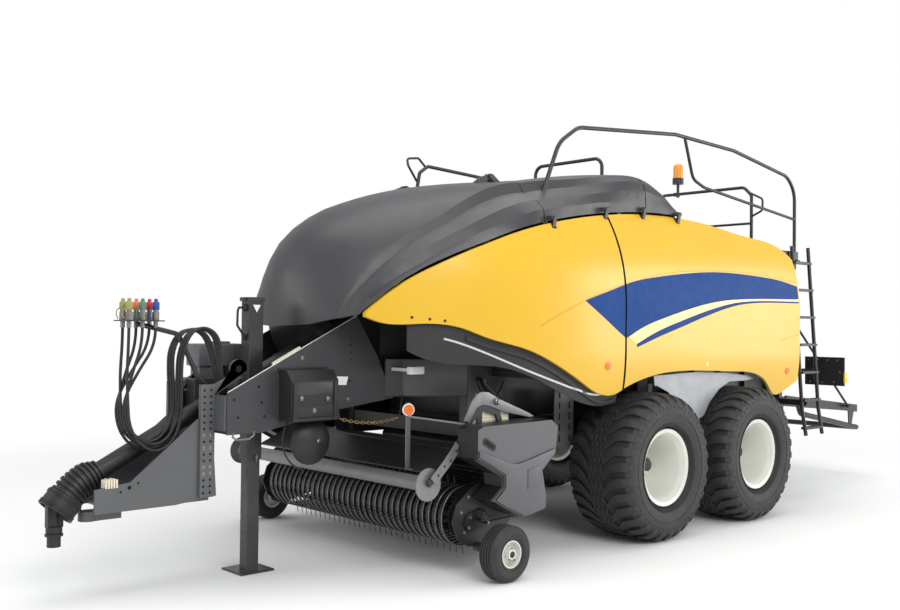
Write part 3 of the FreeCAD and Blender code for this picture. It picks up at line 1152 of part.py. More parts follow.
def gauge_wheel_tyre():
    r, w, y = GAUGE_RADIUS, GAUGE_WIDTH / 2, GAUGE_OUTER_Y - GAUGE_WIDTH / 2
    seat = 92.3
    return turned([(seat, y - w + 14), (seat + 30, y - w), (r - 30, y - w), (r, y - w + 26), (r, y + w - 26),
                   (r - 30, y + w), (seat + 30, y + w), (seat, y + w - 14)], GAUGE_X, GAUGE_RADIUS + 1)


def gauge_wheel_rim():
    w, y = GAUGE_WIDTH / 2, GAUGE_OUTER_Y - GAUGE_WIDTH / 2
    return turned([(18.3, y - w + 4), (40, y - w + 4), (40, y - 12), (84, y - 12), (84, y - w + 14),
                   (92, y - w + 14), (92, y + w - 14), (84, y + w - 14), (84, y + 12), (34, y + 12),
                   (34, y + w - 10), (0, y + w - 10), (0, y + w - 34), (18.3, y + w - 34)],
                  GAUGE_X, GAUGE_RADIUS + 1)


# ---- front equipment ---------------------------------------------------------------------------


def guard_box():
    """Pressed box on the left cheek with the domed disc under it."""
    y = CHEEK_Y + 0.3
    box_ = plate_x([(y, 1060), (y, 1400), (y + 90, 1400), (y + 150, 1330), (y + 150, 1060)], 2600, 2985)
    inner = plate_x([(y + 8, 1050), (y + 8, 1390), (y + 86, 1390), (y + 142, 1326), (y + 142, 1050)],
                    2608, 2977)
    lip = block((2590, 2995), (y, y + 14), (1385, 1412))
    return join(box_.cut(inner), lip)


def dome_disc():
    """Domed guard of the side drive, on its stub from the cheek's lower edge."""
    x, z = 2750, 905
    dome = Part.makeSphere(210, V(x, CHEEK_Y - 95, z)).common(
        block((x - 200, x + 200), (CHEEK_Y + 40, CHEEK_Y + 200), (z - 200, z + 200)))
    plate = bar((x, CHEEK_Y + 34, z), (x, CHEEK_Y + 42, z), 160)
    hanger = block((x - 40, x + 40), (CHEEK_Y + 0.3, CHEEK_Y + 36), (z, 1110))
    return join(dome, plate, hanger)


HOLDER_X = 3870.0
HOLDER_Y = 130.0
HOLDER_Z = 1720.0
COUPLERS = 6
COUPLER_PITCH = 90.0
HOSE_RADIUS = 9.5
BULKHEAD_X = 3222.0
BULKHEAD_Z = 1060.0


def coupler_place(i):
    return HOLDER_X + COUPLER_PITCH * (i % 3 - 1), HOLDER_Y - 45 + COUPLER_PITCH * (i // 3)


def bulkhead_y(i):
    return 102 + 20.5 * i


def hose_arm():
    """Bent bar from the drawbar's floor up to the plate where the couplers are parked."""
    arm = bent_tube([(3290, 150, 1015), (3290, 150, 1180), (3470, 150, 1370), (3610, 150, 1640),
                     (HOLDER_X + 20, HOLDER_Y, HOLDER_Z - 14)], 16, 60)
    plate = block((HOLDER_X - 130, HOLDER_X + 130), (HOLDER_Y - 90, HOLDER_Y + 90), (HOLDER_Z, HOLDER_Z + 8))
    for i in range(COUPLERS):
        x, y = coupler_place(i)
        plate = plate.cut(bar((x, y, HOLDER_Z - 5), (x, y, HOLDER_Z + 20), 15))
    foot = block((3180, 3330), (85, 222), (1010.3, 1034))
    bosses = [bar((BULKHEAD_X, bulkhead_y(i), 1030), (BULKHEAD_X, bulkhead_y(i), BULKHEAD_Z), HOSE_RADIUS)
              for i in range(COUPLERS)]
    return join(arm, plate, foot, *bosses)


def couplers():
    """Hydraulic couplers parked in the plate."""
    pieces = []
    for i in range(COUPLERS):
        x, y = coupler_place(i)
        pieces.append(join(bar((x, y, HOLDER_Z - 40), (x, y, HOLDER_Z + 70), 14.7),
                           bar((x, y, HOLDER_Z + 8), (x, y, HOLDER_Z + 60), 21),
                           bar((x, y, HOLDER_Z + 60), (x, y, HOLDER_Z + 120), 17)))
    return Part.makeCompound(pieces)


def hose_route(i):
    """A hose hangs in a loop from its coupler, climbs over the arm and ends in the bulkhead."""
    x, y = coupler_place(i)
    swing = 6 * i
    front = 3995 - swing
    low = 882 + 13 * (2 * i % 5)
    loop_y = 76 + 22.2 * i
    top_y = (78, 99, 120, 180, 201, 222)[i]
    end_y = bulkhead_y(i)
    return [(x, y, HOLDER_Z - 40), (x, y, HOLDER_Z - 150), ((x + front) / 2 + 8, (y + loop_y) / 2, 1400),
            (front, loop_y, 1220), (front - 12, loop_y, 1060), (front - 85, loop_y, low + 60),
            (3795 - swing, loop_y, low), (3690 - swing, loop_y, low + 55), (3630 - swing, loop_y, low + 185),
            (3625 - swing, loop_y, low + 335), (3640 - swing, (loop_y + top_y) / 2, 1400),
            (3638 - swing, top_y, 1535), (3578 - swing, top_y, 1646 + 3 * i), (3478 - swing, top_y, 1676 + 3 * i),
            (3384 - swing, top_y, 1632), (3344 - swing / 2, (top_y + end_y) / 2, 1510), (3315, end_y, 1370),
            (3270, end_y, 1245), (BULKHEAD_X, end_y, 1150), (BULKHEAD_X, end_y, BULKHEAD_Z)]


def hose(i):
    wire, radii = path(hose_route(i))
    tube = bent_tube(hose_route(i), HOSE_RADIUS)
    section = math.pi * HOSE_RADIUS ** 2
    print("hose %d: length %.0f mm, smallest radius %.0f mm, volume / (section x length) %.4f" % (
        i + 1, wire.Length, min(radii), tube.Volume / (section * wire.Length)))
    return tube


def valve_box():
    """Grey box on the drawbar behind the hose arm."""
    box = block((3090, 3350), (-330, -95), (1060.3, 1330))
    return join(box, block((3150, 3290), (-300, -120), (1010.3, 1062)))


def save_all():
    """Write every sub-part."""
    sides = (("left", lambda shape: shape), ("right", mirrored))
    cover = rear_cover()
    for place, x in AXLE_STATIONS:
        for side, turn in sides:
            save("tyre_%s_%s" % (place, side), turn(tyre(x)))
            save("rim_%s_%s" % (place, side), turn(join(rim(x), hub(x))))
    for node, piece in (("front_door", front_door()), ("rear_door", rear_door()),
                        ("gauge_tyre", gauge_wheel_tyre()), ("gauge_rim", gauge_wheel_rim())):
        for side, turn in sides:
            save("%s_%s" % (node, side), turn(piece))
    for node, piece in (("side_trims", side_trim()), ("wheel_panels", wheel_panel()),
                        ("side_shields", side_shield()), ("chute_stays", chute_stay())):
        save(node, Part.makeCompound(both_sides(piece)))
    for node, piece in (
            ("tandem_axles", running_gear()), ("main_frame", join(main_frame(), frame_uprights())),
            ("bale_chamber", chamber_floor_and_roof()),
            ("chamber_walls", Part.makeCompound(both_sides(chamber_wall()))),
            ("feeder_housing", feeder_housing()),
            ("drawbar_frame", drawbar_frame()), ("drawbar_tongue", drawbar_tongue()),
            ("jack_sleeve", jack_sleeve()), ("jack_leg", jack_leg()), ("pto_guard", pto_guard()),
            ("main_gearbox", join(main_gearbox(), flywheel(), chamber_front())), ("hood", hood()),
            ("rear_cover", cover), ("deck", deck()), ("deck_posts", deck_posts()), ("cover_frames", cover_frame(cover)),
            ("knotter_housing", knotter_housing()), ("handrail_left", on_cover(handrail_left(), cover)),
            ("handrails", Part.makeCompound([on_cover(handrail_right(), cover),
                                             join(cross_rails(), beacon_base())])),
            ("beacon_dome", beacon_dome()), ("ladder", ladder()),
            ("light_boards", Part.makeCompound(both_sides(light_board()))),
            ("rear_frame", join(rear_frame(), light_arms(), chute_pins())), ("rear_beam", rear_beam()),
            ("bale_chute", bale_chute()),
            ("pickup_frame", pickup_frame()), ("pickup_bands", pickup_bands()), ("pickup_reel", pickup_reel()),
            ("windguard", join(windguard(), deflector())), ("crop_roller", crop_roller()),
            ("drive_guards", join(guard_box(), dome_disc())), ("hose_arm", hose_arm()),
            ("couplers", couplers()), ("valve_box", valve_box())):
        save(node, piece)
    for i in range(COUPLERS):
        save("hose_%d" % (i + 1), hose(i))


os.makedirs("parts", exist_ok=True)
save_all()
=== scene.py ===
"""Looks of the large square baler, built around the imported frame.

Metres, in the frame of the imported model: +X to the tractor, +Y to the machine's left, +Z up.
"""
import math

import bmesh
import bpy
from mathutils import Matrix, Vector
from mathutils.bvhtree import BVHTree


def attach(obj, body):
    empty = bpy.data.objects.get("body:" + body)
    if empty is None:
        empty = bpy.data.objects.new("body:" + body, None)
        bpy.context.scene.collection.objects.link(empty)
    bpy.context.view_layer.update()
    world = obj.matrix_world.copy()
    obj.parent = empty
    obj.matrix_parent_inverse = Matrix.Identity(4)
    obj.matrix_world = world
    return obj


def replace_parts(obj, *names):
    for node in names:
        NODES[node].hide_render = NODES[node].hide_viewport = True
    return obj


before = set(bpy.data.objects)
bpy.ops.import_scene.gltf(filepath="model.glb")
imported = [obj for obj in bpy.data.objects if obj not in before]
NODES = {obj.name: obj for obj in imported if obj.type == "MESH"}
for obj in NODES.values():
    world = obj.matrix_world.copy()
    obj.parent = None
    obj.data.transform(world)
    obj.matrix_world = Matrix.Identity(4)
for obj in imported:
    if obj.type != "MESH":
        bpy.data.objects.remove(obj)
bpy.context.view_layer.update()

SCENE = bpy.context.scene
SCENE.view_settings.view_transform = "Standard"
X_SHIFT = 0.235                     # the source's X counts from the front axle
SIDES = (("left", 1), ("right", -1))


def linked(name, data):
    """New object in the scene."""
    made = bpy.data.objects.new(name, data)
    SCENE.collection.objects.link(made)
    return made


# ---- shader nodes ------------------------------------------------------------------------------
def add_node(tree, kind, sockets=None, output=0, **settings):
    """Output of a new node; sockets maps its inputs to values or to the outputs that feed them."""
    made = tree.nodes.new(kind)
    for name, value in settings.items():
        setattr(made, name, value)
    for socket, value in (sockets or {}).items():
        if isinstance(value, bpy.types.NodeSocket):
            tree.links.new(value, made.inputs[socket])
        else:
            made.inputs[socket].default_value = value
    return made.outputs[output]


def maths(tree, operation, first, second=0.0, third=0.0):
    return add_node(tree, "ShaderNodeMath", {0: first, 1: second, 2: third}, operation=operation)


def vector_maths(tree, operation, first, second=(0, 0, 0), output="Vector"):
    return add_node(tree, "ShaderNodeVectorMath", {0: first, 1: second}, output, operation=operation)


def frame_coords(tree, output="Object"):
    """Place or normal in the frame, in metres."""
    return add_node(tree, "ShaderNodeTexCoord", output=output)


def new_material(name):
    """New material with its node tree and the inputs of its shader."""
    made = bpy.data.materials.new(name)
    made.use_nodes = True
    return made, made.node_tree, made.node_tree.nodes["Principled BSDF"].inputs


# ---- camera, floor and light -------------------------------------------------------------------
FLOOR_HALF = 60.0
FLOOR_FADE = (4.5, 9.0)             # the floor turns plain white between these distances


def set_camera():
    yaw, pitch, roll = (math.radians(a) for a in (42.772, -1.105, 0.627))
    look = Vector((-math.sin(yaw) * math.cos(pitch), -math.cos(yaw) * math.cos(pitch), -math.sin(pitch)))
    right = look.cross(Vector((0, 0, 1))).normalized()
    up = right.cross(look)
    rolled = (math.cos(roll) * right + math.sin(roll) * up, math.cos(roll) * up - math.sin(roll) * right)
    camera = linked("camera", bpy.data.cameras.new("camera"))
    turn = Matrix((rolled[0], rolled[1], -look)).transposed().to_4x4()
    camera.matrix_world = Matrix.Translation((7.002, 6.172, 1.722)) @ turn
    camera.data.lens = 40.23
    SCENE.camera = camera


def area_light(name, spot, target, size, power):
    lamp = bpy.data.lights.new(name, "AREA")
    lamp.shape = "RECTANGLE"
    lamp.size, lamp.size_y = size
    lamp.energy = power
    holder = linked(name, lamp)
    holder.location = spot
    holder.rotation_euler = (Vector(target) - Vector(spot)).to_track_quat("-Z", "Y").to_euler()


def set_world(strength):
    """White where the camera sees it, straight or through glass, and a softer level as light."""
    world = bpy.data.worlds.new("studio")
    SCENE.world = world
    world.use_nodes = True
    tree = world.node_tree
    tree.nodes.clear()
    path = tree.nodes.new("ShaderNodeLightPath").outputs
    seen = maths(tree, "MAXIMUM", path["Is Camera Ray"], path["Is Transmission Ray"])
    light = add_node(tree, "ShaderNodeBackground", {"Color": (0.97, 0.985, 1.0, 1.0), "Strength": strength})
    white = add_node(tree, "ShaderNodeBackground", {"Color": (1, 1, 1, 1)})
    both = add_node(tree, "ShaderNodeMixShader", {0: seen, 1: light, 2: white})
    tree.links.new(both, tree.nodes.new("ShaderNodeOutputWorld").inputs["Surface"])


def set_floor():
    mesh = bpy.data.meshes.new("floor")
    r = FLOOR_HALF
    mesh.from_pydata([(-r, -r, 0), (r, -r, 0), (r, r, 0), (-r, r, 0)], [], [(0, 1, 2, 3)])
    plain, tree, shader = new_material("floor_white")
    shader["Base Color"].default_value = (0.93, 0.93, 0.93, 1)
    shader["Roughness"].default_value = 0.85
    shader["Specular IOR Level"].default_value = 0.1
    distance = vector_maths(tree, "LENGTH", frame_coords(tree), output="Value")
    fade = add_node(tree, "ShaderNodeMapRange",
                    {"From Min": FLOOR_FADE[0], "From Max": FLOOR_FADE[1], "Value": distance},
                    "Result", interpolation_type="SMOOTHSTEP")
    glow = add_node(tree, "ShaderNodeEmission")
    lit = tree.nodes["Principled BSDF"].outputs[0]
    both = add_node(tree, "ShaderNodeMixShader", {0: fade, 1: lit, 2: glow})
    tree.links.new(both, tree.nodes["Material Output"].inputs["Surface"])
    mesh.materials.append(plain)
    linked("floor", mesh)


# ---- materials ---------------------------------------------------------------------------------
def linear(colour):
    """Screen colour of 0 to 255 per channel, as a linear colour."""
    values = [c / 255 for c in colour]
    return [c / 12.92 if c <= 0.04045 else ((c + 0.055) / 1.055) ** 2.4 for c in values]


def noise(tree, coords, scale, detail=4.0):
    return add_node(tree, "ShaderNodeTexNoise",
                    {"Scale": scale, "Detail": detail, "Roughness": 0.6, "Vector": coords}, "Fac")


def spread(tree, value, low, high):
    """Maps a noise, which stays mostly between 0.3 and 0.7, to low ... high."""
    return add_node(tree, "ShaderNodeMapRange",
                    {"From Min": 0.3, "From Max": 0.7, "To Min": low, "To Max": high, "Value": value},
                    "Result")


def mixed(tree, first, second, share):
    """Colour between two others."""
    return add_node(tree, "ShaderNodeMix", {"A": first, "B": second, "Factor": share}, "Result",
                    data_type="RGBA")


ROUGH_VARY = 0.06                   # how far the gloss wanders
COAT_ROUGH = 0.22


def finish(name, colour, rough, metal=0.0, mottle=0.07, cloud=3.0, grain=0.0, grain_scale=500.0, coat=0.0,
           scratches=0.0, specular=0.5):
    """Paint, plastic, rubber or metal: clouded screen colour, uneven gloss, fine grain, scratches."""
    made, tree, shader = new_material(name)
    coords = frame_coords(tree)
    dark, pale = ([min(1, c * share) for c in linear(colour)] + [1] for share in (1 - mottle, 1 + mottle))
    clouds = spread(tree, noise(tree, coords, cloud), 0, 1)
    tree.links.new(mixed(tree, dark, pale, clouds), shader["Base Color"])
    smears = noise(tree, coords, cloud * 4.3, 6.0)
    tree.links.new(spread(tree, smears, rough - ROUGH_VARY, rough + ROUGH_VARY), shader["Roughness"])
    shader["Metallic"].default_value = metal
    shader["Specular IOR Level"].default_value = specular
    shader["Coat Weight"].default_value = coat
    shader["Coat Roughness"].default_value = COAT_ROUGH
    height = noise(tree, coords, grain_scale, 2.0)
    if scratches:
        stretched = add_node(tree, "ShaderNodeMapping", {"Scale": (4.0, 90.0, 90.0), "Vector": coords})
        lines = noise(tree, stretched, 6.0, 3.0)
        height = maths(tree, "MULTIPLY_ADD", lines, scratches, height)
    bump = {"Strength": grain, "Distance": 0.001, "Height": height}
    tree.links.new(add_node(tree, "ShaderNodeBump", bump, "Normal"), shader["Normal"])
    return made


def mixed_in(look, mask, colour):
    """Puts another colour where a mask is 1."""
    tree = look.node_tree
    base = tree.nodes["Principled BSDF"].inputs["Base Color"]
    tree.links.new(mixed(tree, base.links[0].from_socket, [*colour, 1], mask), base)


def distance_along(tree, vector, axis):
    """Distance from 0 along one axis."""
    return maths(tree, "ABSOLUTE", add_node(tree, "ShaderNodeSeparateXYZ", {0: vector}, axis))


# in metres of the frame: the seam between the doors, the doors' hinge lines, and how far black reaches
SEAM_X, SEAM_DARK = 0.635, 0.0115
HINGE_LINES = (((0.665, 1.142, 2.655), (1.325, 1.174, 2.533)),
               ((0.145, 1.128, 2.700), (-0.355, 1.128, 2.700)))
HINGE_DARK, KNUCKLE_REACH, KNUCKLE_HALF = 0.036, 0.085, 0.024


def dark_seams(look):
    """Black edges along the seam between the doors, and black hinge knuckles above them."""
    tree = look.node_tree
    spot = frame_coords(tree)
    from_seam = distance_along(tree, vector_maths(tree, "SUBTRACT", spot, (SEAM_X, 0, 0)), "X")
    mask = maths(tree, "LESS_THAN", from_seam, SEAM_DARK)
    mirrored = vector_maths(tree, "MULTIPLY", spot, (1, -1, 1))
    for a, b in HINGE_LINES:
        along = tuple((Vector(b) - Vector(a)).normalized())
        for here in (spot, mirrored):
            arm = vector_maths(tree, "SUBTRACT", here, a)
            off = vector_maths(tree, "CROSS_PRODUCT", arm, along)
            gap = vector_maths(tree, "LENGTH", off, output="Value")
            mask = maths(tree, "MAXIMUM", mask, maths(tree, "LESS_THAN", gap, HINGE_DARK))
            for end in (a, b):
                arm = vector_maths(tree, "SUBTRACT", here, end)
                reach = vector_maths(tree, "LENGTH", arm, output="Value")
                near = maths(tree, "LESS_THAN", reach, KNUCKLE_REACH)
                narrow = maths(tree, "LESS_THAN", distance_along(tree, arm, "X"), KNUCKLE_HALF)
                mask = maths(tree, "MAXIMUM", mask, maths(tree, "MINIMUM", near, narrow))
    mixed_in(look, mask, (0.012, 0.012, 0.012))


def dark_walls(look):
    """Black on the walls round a cover whose face looks sideways."""
    tree = look.node_tree
    sideways = distance_along(tree, frame_coords(tree, "Normal"), "Y")
    mixed_in(look, maths(tree, "LESS_THAN", sideways, 0.35), (0.014, 0.014, 0.015))


YELLOW = finish("yellow_paint", (224, 178, 28), 0.42, mottle=0.03, cloud=1.2, grain=0.05, coat=0.35)
HOOD = finish("hood_plastic", (60, 60, 62), 0.4, mottle=0.05, cloud=1.5, grain=0.25, grain_scale=900)
SHIELD = finish("shield_plastic", (90, 90, 93), 0.42, mottle=0.04, cloud=2.0, grain=0.2, grain_scale=900)
TRIM = finish("trim_plastic", (38, 38, 40), 0.5, grain=0.3, grain_scale=900)
BLACK = finish("black_frame_paint", (36, 36, 38), 0.42, mottle=0.14, grain=0.12, grain_scale=160, coat=0.1)
GREY = finish("drawbar_grey_paint", (54, 55, 57), 0.4, mottle=0.08, grain=0.1, grain_scale=180, coat=0.1)
PLATE_GREY = finish("tongue_grey_paint", (92, 93, 95), 0.36, mottle=0.07, grain=0.1, grain_scale=180)
JACK_GREY = finish("jack_grey_paint", (62, 62, 64), 0.3, mottle=0.16, cloud=5, grain=0.1, grain_scale=160,
                   metal=0.3)
BRACKET = finish("bracket_zinc", (52, 52, 54), 0.34, metal=0.35, mottle=0.14, cloud=8, grain=0.12)
ROLLER = finish("roller_zinc", (128, 128, 130), 0.36, metal=0.4, mottle=0.08, cloud=6, grain=0.08,
                scratches=0.4)
SILVER = finish("silver_sheet", (156, 158, 162), 0.42, metal=0.35, mottle=0.1, cloud=7, grain=0.06)
RIM_WHITE = finish("rim_white_paint", (222, 222, 214), 0.36, mottle=0.04, grain=0.06, coat=0.2)
RUBBER = finish("tyre_rubber", (44, 44, 45), 0.62, mottle=0.22, cloud=7, grain=0.5, grain_scale=260)
GUARD = finish("guard_plastic", (34, 34, 36), 0.48, grain=0.25, grain_scale=700)
STEEL = finish("worn_steel", (140, 138, 134), 0.38, metal=0.9, mottle=0.15, grain=0.15, scratches=0.6)
DARK_STEEL = finish("dark_steel", (58, 58, 60), 0.4, metal=0.6, mottle=0.15, grain=0.12, scratches=0.5)
HOSE = finish("hose_rubber", (30, 30, 31), 0.45, mottle=0.15, cloud=20, grain=0.3, grain_scale=600)
AMBER = finish("amber_lens", (246, 150, 12), 0.2, mottle=0.03, cloud=6, coat=0.5)
BLUE = finish("blue_film", (0, 60, 128), 0.5, mottle=0.05, grain=0.05, specular=0.15)
WHITE_FILM = finish("white_film", (236, 236, 232), 0.4, mottle=0.03, grain=0.04)
ORANGE = finish("orange_reflector", (235, 110, 30), 0.25, mottle=0.08, cloud=60, coat=0.4)
PALE_FILM = finish("pale_film", (252, 214, 130), 0.36, mottle=0.03, cloud=1.2, grain=0.05, coat=0.3)
# deeper yellow for painted shade along the door panels' creases
CREASE_SHADE_YELLOW = finish("crease_shade_yellow", (206, 150, 8), 0.4, mottle=0.03, grain=0.05)
HOLE = finish("hole_black", (10, 10, 11), 0.8, mottle=0.2, grain=0.1)
BRIGHT = finish("bright_edge", (214, 215, 216), 0.3, metal=0.5, mottle=0.06, grain=0.06)
CREAM = finish("cream_plastic", (226, 218, 192), 0.45, mottle=0.06, cloud=9, grain=0.15)
BRASS = finish("brass_chain", (172, 150, 96), 0.35, metal=0.85, mottle=0.15, cloud=30, grain=0.2)
RED_CAP, BLUE_CAP, ORANGE_CAP, GREEN_CAP = (
    finish(name + "_cap", colour, 0.4, mottle=0.08, cloud=20, grain=0.15)
    for name, colour in (("red", (196, 38, 34)), ("blue", (34, 66, 150)), ("orange", (222, 122, 78)),
                         ("green", (84, 128, 104))))
KHAKI_CAP = finish("khaki_cap", (156, 148, 88), 0.4, mottle=0.1, cloud=20, grain=0.15)
RIM_ORANGE = finish("reflector_rim", (226, 148, 92), 0.4, mottle=0.05, cloud=40, grain=0.1)
MARKER = finish("marker_lens", (238, 200, 30), 0.3, mottle=0.05, cloud=40, coat=0.4)
# pale metal for the painted highlight along the pickup bands' edges
BAND_HIGHLIGHT_GREY = finish("painted_band_highlight", (150, 151, 153), 0.3, metal=0.6, mottle=0.1, cloud=30)
RED_LENS = finish("red_lens", (176, 22, 20), 0.2, mottle=0.06, cloud=30, coat=0.5)

dark_seams(YELLOW)
dark_walls(SHIELD)

SLOTS = {look: slot for slot, looks in {            # the record's material slot for a piece of each material
    "bare_steel": (STEEL, DARK_STEEL, BRIGHT, BRASS, ROLLER, BAND_HIGHLIGHT_GREY),
    "black_plastic": (GUARD, HOLE),
    "dark_panel": (TRIM, SHIELD),
    "grey_paint": (GREY, PLATE_GREY, JACK_GREY),
    "amber_lens": (ORANGE, RIM_ORANGE, MARKER),
    "tyre": (RUBBER,)}.items() for look in looks}

NODE_LOOKS = {                      # all other nodes are black
    YELLOW: [name for name in NODES if "_door_" in name],
    HOOD: ["hood", "rear_cover"],
    TRIM: ["side_trims"],
    SHIELD: ["side_shields"],
    BRACKET: ["windguard"],
    GREY: ["drawbar_frame"],
    JACK_GREY: ["jack_sleeve", "jack_leg", "valve_box"],
    PLATE_GREY: ["drawbar_tongue"],
    SILVER: ["wheel_panels"],
    ROLLER: ["crop_roller"],
    RIM_WHITE: [name for name in NODES if "rim_" in name],
    GUARD: ["pto_guard", "drive_guards", "light_boards"],
    STEEL: ["couplers"],
    DARK_STEEL: ["chute_stays", "pickup_reel"],
    RUBBER: [name for name in NODES if "tyre" in name],
    HOSE: ["hose_%d" % (i + 1) for i in range(6)],
    AMBER: ["beacon_dome"],
}
CRISP_ANGLES = {"hood": 15, "rear_cover": 15}     # creases sharper than this stay crisp, in degrees
ROUNDED = {"side_shields": 9, "jack_sleeve": 5, "jack_leg": 5, "drawbar_frame": 2.5, "crop_roller": 1.5,
           "wheel_panels": 2, "valve_box": 5, "drive_guards": 3}        # rounded edges, in millimetres


def dress_nodes():
    looks = {name: look for look, names in NODE_LOOKS.items() for name in names}
    for name, node in NODES.items():
        node.data.materials.clear()
        node.data.materials.append(looks.get(name, BLACK))
        node.modifiers.new("weld", "WELD").merge_threshold = 0.00001
        if name in ROUNDED:
            rounded = node.modifiers.new("rounded", "BEVEL")
            rounded.width = ROUNDED[name] / 1000
            rounded.segments = 3
            rounded.limit_method = "ANGLE"
            rounded.angle_limit = math.radians(30)
        node.modifiers.new("crisp", "EDGE_SPLIT").split_angle = math.radians(CRISP_ANGLES.get(name, 30))


# ---- mesh helpers, in millimetres of the part's source (X counts from the front axle) -----------
def place(x, y, z):
    return Vector((x / 1000 + X_SHIFT, y / 1000, z / 1000))


def square_axes(axis):
    """Two directions at right angles to axis and to each other."""
    axis = Vector(axis).normalized()
    helper = Vector((0, 0, 1)) if abs(axis.z) < 0.9 else Vector((1, 0, 0))
    first = axis.cross(helper).normalized()
    return axis, first, axis.cross(first)


def across(side, low, high):
    """Range in Y from a range outwards of the middle."""
    return sorted((side * low, side * high))


def round_spots(count, radius, start=0.0):
    """Places round a circle, as steps along two axes; start is a share of one pitch."""
    turns = (2 * math.pi * (i + start) / count for i in range(count))
    return [(radius * math.cos(turn), radius * math.sin(turn)) for turn in turns]


def arc_points(x, z, radius, degrees):
    """Points (x, z) of an arc about a centre."""
    turns = [math.radians(a) for a in degrees]
    return [(x + radius * math.cos(turn), z + radius * math.sin(turn)) for turn in turns]


def link_piece(name, data, look, body, slot=None):
    """New piece that rides a body; its slot is looked up but not used."""
    data.materials.append(look)
    made = linked(name, data)
    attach(made, body)
    slot = SLOTS.get(look) if slot is None else slot
    return made


class Build:
    """Gathers many small forms, given in millimetres, into one mesh; each form returns the build."""

    def __init__(self):
        self.bm = bmesh.new()

    def add(self, points, faces, bevel=0.0):
        verts = [self.bm.verts.new(place(*p)) for p in points]
        made = []
        for face in faces:
            made.append(self.bm.faces.new([verts[i] for i in face]))
        bmesh.ops.recalc_face_normals(self.bm, faces=made)
        if bevel:
            edges = {edge for face in made for edge in face.edges
                     if len(edge.link_faces) == 2 and edge.calc_face_angle(0) > 0.5}
            bmesh.ops.bevel(self.bm, geom=list(edges), offset=bevel / 1000, segments=2, profile=0.6,
                            affect="EDGES", clamp_overlap=True)
        return self

    def skin(self, rows, closed=False, bevel=0.0):
        """Skin over equal outlines; closed joins the last to the first, else both ends get a face."""
        rows = [list(row) for row in rows]
        n, m = len(rows), len(rows[0])
        faces = [] if closed else [tuple(range(m)), tuple(range((n - 1) * m, n * m))]
        for i in range(n if closed else n - 1):
            a, b = i * m, (i + 1) % n * m
            faces += [(a + k, a + (k + 1) % m, b + (k + 1) % m, b + k) for k in range(m)]
        return self.add([point for row in rows for point in row], faces, bevel)

    def prism(self, low, high, bevel=0.0):
        """Solid between two equal outlines of points."""
        return self.skin([low, high], bevel=bevel)

    def box(self, xs, ys, zs, bevel=2.0):
        corners = ((xs[0], ys[0]), (xs[1], ys[0]), (xs[1], ys[1]), (xs[0], ys[1]))
        return self.skin([[(x, y, z) for x, y in corners] for z in zs], bevel=bevel)

    def plate_y(self, outline, y0, y1, bevel=0.0):
        return self.skin([[(x, y, z) for x, z in outline] for y in (y0, y1)], bevel=bevel)

    def turned(self, centre, axis, profile, sides=24, ring=False):
        """Lathe form: profile is (radius, distance along axis); ring closes it on itself."""
        axis, first, second = square_axes(axis)
        centre = Vector(centre)
        points, rows = [], []
        for radius, along in profile:
            if radius < 0.01 and not ring:
                rows.append([len(points)])
                points.append(centre + axis * along)
                continue
            rows.append([len(points) + i for i in range(sides)])
            points += [centre + axis * along + u * first + v * second for u, v in round_spots(sides, radius)]
        faces = []
        pairs = list(zip(rows, rows[1:])) + ([(rows[-1], rows[0])] if ring else [])
        for a, b in pairs:
            for i in range(sides):
                j = (i + 1) % sides
                quad = [a[i % len(a)], a[j % len(a)], b[j % len(b)], b[i % len(b)]]
                faces.append(tuple(dict.fromkeys(quad)))
        return self.add(points, faces)

    def rod(self, line, radius, sides=12, closed=False):
        """Round bar along a polyline, with mitred corners."""
        line = [Vector(p) for p in line]
        n = len(line)
        rings = []
        side = None
        for i, point in enumerate(line):
            back = (point - line[i - 1]).normalized() if i or closed else (line[1] - point).normalized()
            on = (line[(i + 1) % n] - point).normalized() if i < n - 1 or closed else back
            along = (back + on).normalized()
            side = square_axes(along)[1] if side is None else (side - along * side.dot(along)).normalized()
            other = along.cross(side)
            stretch = 1 / max(0.4, along.dot(on))
            bend = on - back
            bend = bend.normalized() if bend.length > 1e-4 else Vector()
            arms = [u * side + v * other for u, v in round_spots(sides, radius)]
            rings.append([point + arm + bend * arm.dot(bend) * (stretch - 1) for arm in arms])
        return self.skin(rings, closed)

    def bolt(self, centre, axis, across=18.0, head=7.0):
        """Hexagon head with a chamfer, on a washer."""
        r = across / 2
        self.turned(centre, axis, [(0, -1), (r * 1.35, -1), (r * 1.35, 1.6), (0, 1.6)], 20)
        return self.turned(centre, axis, [(0, 1), (r, 1), (r, head - 1.5), (r * 0.85, head), (0, head)], 6)

    def done(self, name, look, body="chassis", slot=None, smooth=35):
        mesh = bpy.data.meshes.new(name)
        self.bm.to_mesh(mesh)
        self.bm.free()
        mesh.shade_smooth()
        mesh.set_sharp_from_angle(angle=math.radians(smooth))
        return link_piece(name, mesh, look, body, slot)


def flat_disc(b, centre, axis, radius, proud=0.7):
    b.turned(centre, axis, [(0, -0.5), (radius, -0.5), (radius, proud), (0, proud)], 20)


def button(b, centre, axis, radius=11.0, high=7.0):
    """Round-headed bolt on a washer."""
    b.turned(centre, axis, [(0, -0.5), (radius * 1.35, -0.5), (radius * 1.35, 1.5), (radius, 1.5),
                            (radius * 0.92, high * 0.6), (radius * 0.6, high * 0.9), (0, high)], 20)


def dotted(name, look, draw, spots, axis, *size, body="chassis"):
    """One piece of equal bolts or discs, each drawn at a spot."""
    b = Build()
    for spot in spots:
        draw(b, spot, axis, *size)
    b.done(name, look, body)


